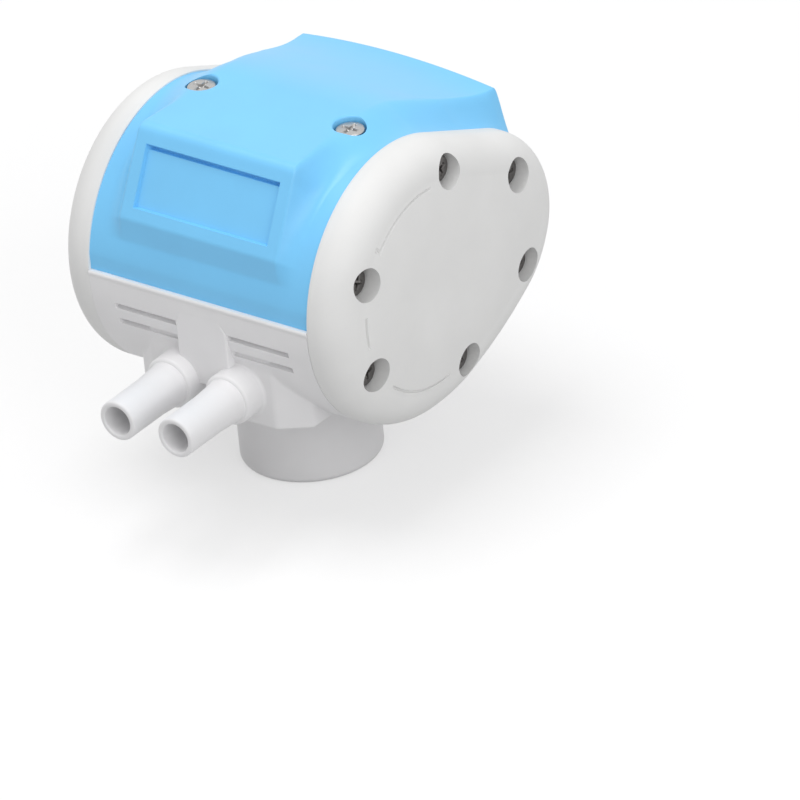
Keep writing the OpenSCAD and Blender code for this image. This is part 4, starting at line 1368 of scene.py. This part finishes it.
def add_floor(scene, stage):
    """A pale floor that looks white, keeps the shadow and throws back a set share of light."""
    mesh = bpy.data.meshes.new("floor")
    w = 6.0
    mesh.from_pydata([(-w, -w, 0), (w, -w, 0), (w, w, 0), (-w, w, 0)], [], [(0, 1, 2, 3)])
    floor = bpy.data.objects.new("floor", mesh)
    scene.collection.objects.link(floor)
    paint, tree, shader, place = new_finish("floor_paper")
    clouds = spread(tree, noise(tree, place, 3, 3), 0, 1)
    paper = mix_colour(tree, clouds, (0.475, 0.475, 0.478), (0.49, 0.49, 0.492))
    seen = seen_rays(tree)
    tone = mix_colour(tree, seen, (stage.bounce,) * 3, paper)
    tree.links.new(tone, shader.inputs["Base Color"])
    shader.inputs["Emission Color"].default_value = (1, 1, 1, 1)
    tree.links.new(spread(tree, seen, 0.0, 0.5, 0, 1), shader.inputs["Emission Strength"])
    shader.inputs["Roughness"].default_value = 0.95
    shader.inputs["Specular IOR Level"].default_value = 0.1
    mesh.materials.append(paint)


def add_lamp(scene, name, power, size, place):
    """A square lamp that faces the object."""
    light = bpy.data.lights.new(name, "AREA")
    light.energy, light.size = power, size
    lamp = bpy.data.objects.new(name, light)
    scene.collection.objects.link(lamp)
    place = Vector(place)
    turn = (Vector(LIT_POINT) - place).to_track_quat("-Z", "Y").to_matrix().to_4x4()
    lamp.matrix_world = Matrix.Translation(place) @ turn


def light_world(scene, stage):
    """Even light all round, with a white background where it is seen."""
    world = scene.world or bpy.data.worlds.new("studio")
    scene.world = world
    world.use_nodes = True
    tree = world.node_tree
    tree.nodes.clear()
    out = tree.nodes.new("ShaderNodeOutputWorld")
    glow = tree.nodes.new("ShaderNodeBackground")
    glow.inputs["Color"].default_value = (1, 1, 1, 1)
    level = spread(tree, seen_rays(tree), stage.ambient, 1.0, 0, 1)
    tree.links.new(level, glow.inputs["Strength"])
    tree.links.new(glow.outputs["Background"], out.inputs["Surface"])


class PULSATOR_OT_stage(bpy.types.Operator):
    """Set up the camera, the pale floor, the lamps and the surrounding light"""

    bl_idname = "pulsator.stage"
    bl_label = "Stage"

    def execute(self, context):
        scene, stage = context.scene, context.scene.pulsator_stage
        scene.view_settings.view_transform = "Standard"
        add_camera(scene, stage)
        add_floor(scene, stage)
        add_lamp(scene, "key", stage.key, 0.7, (-0.2, -0.05, 1.2))
        add_lamp(scene, "fill", stage.fill, 0.9, (1.1, -0.42, 0.7))
        light_world(scene, stage)
        return {"FINISHED"}


class PULSATOR_PT_panel(bpy.types.Panel):
    """The pieces of the pulsator and their settings"""

    bl_idname = "PULSATOR_PT_panel"
    bl_label = "Milking pulsator"
    bl_space_type = "VIEW_3D"
    bl_region_type = "UI"
    bl_category = "Pulsator"

    def draw(self, context):
        layout = self.layout
        for group in ("pulsator_form", "pulsator_finish", "pulsator_stage"):
            box = layout.box()
            settings = getattr(context.scene, group)
            for name in settings.__annotations__:
                box.prop(settings, name)
        for operator in OPERATORS:
            layout.operator(operator.bl_idname)


GROUPS = (PulsatorForm, PulsatorFinish, PulsatorStage)
OPERATORS = (
    PULSATOR_OT_stage,
    PULSATOR_OT_cover,
    PULSATOR_OT_caps,
    PULSATOR_OT_body,
    PULSATOR_OT_chest,
    PULSATOR_OT_screws,
    PULSATOR_OT_rate_knob,
    PULSATOR_OT_diaphragms,
    PULSATOR_OT_mechanism,
)


def register():
    for cls in (*GROUPS, *OPERATORS, PULSATOR_PT_panel):
        bpy.utils.register_class(cls)
    bpy.types.Scene.pulsator_form = bpy.props.PointerProperty(type=PulsatorForm)
    bpy.types.Scene.pulsator_finish = bpy.props.PointerProperty(type=PulsatorFinish)
    bpy.types.Scene.pulsator_stage = bpy.props.PointerProperty(type=PulsatorStage)


def unregister():
    del bpy.types.Scene.pulsator_stage
    del bpy.types.Scene.pulsator_finish
    del bpy.types.Scene.pulsator_form
    for cls in reversed((*GROUPS, *OPERATORS, PULSATOR_PT_panel)):
        bpy.utils.unregister_class(cls)


def main():
    register()
    bpy.ops.pulsator.stage()
    bpy.ops.pulsator.cover()
    bpy.ops.pulsator.caps()
    bpy.ops.pulsator.body()
    bpy.ops.pulsator.chest()
    bpy.ops.pulsator.screws()
    bpy.ops.pulsator.rate_knob()
    bpy.ops.pulsator.diaphragms()
    bpy.ops.pulsator.mechanism()


if __name__ == "__main__":
    main()
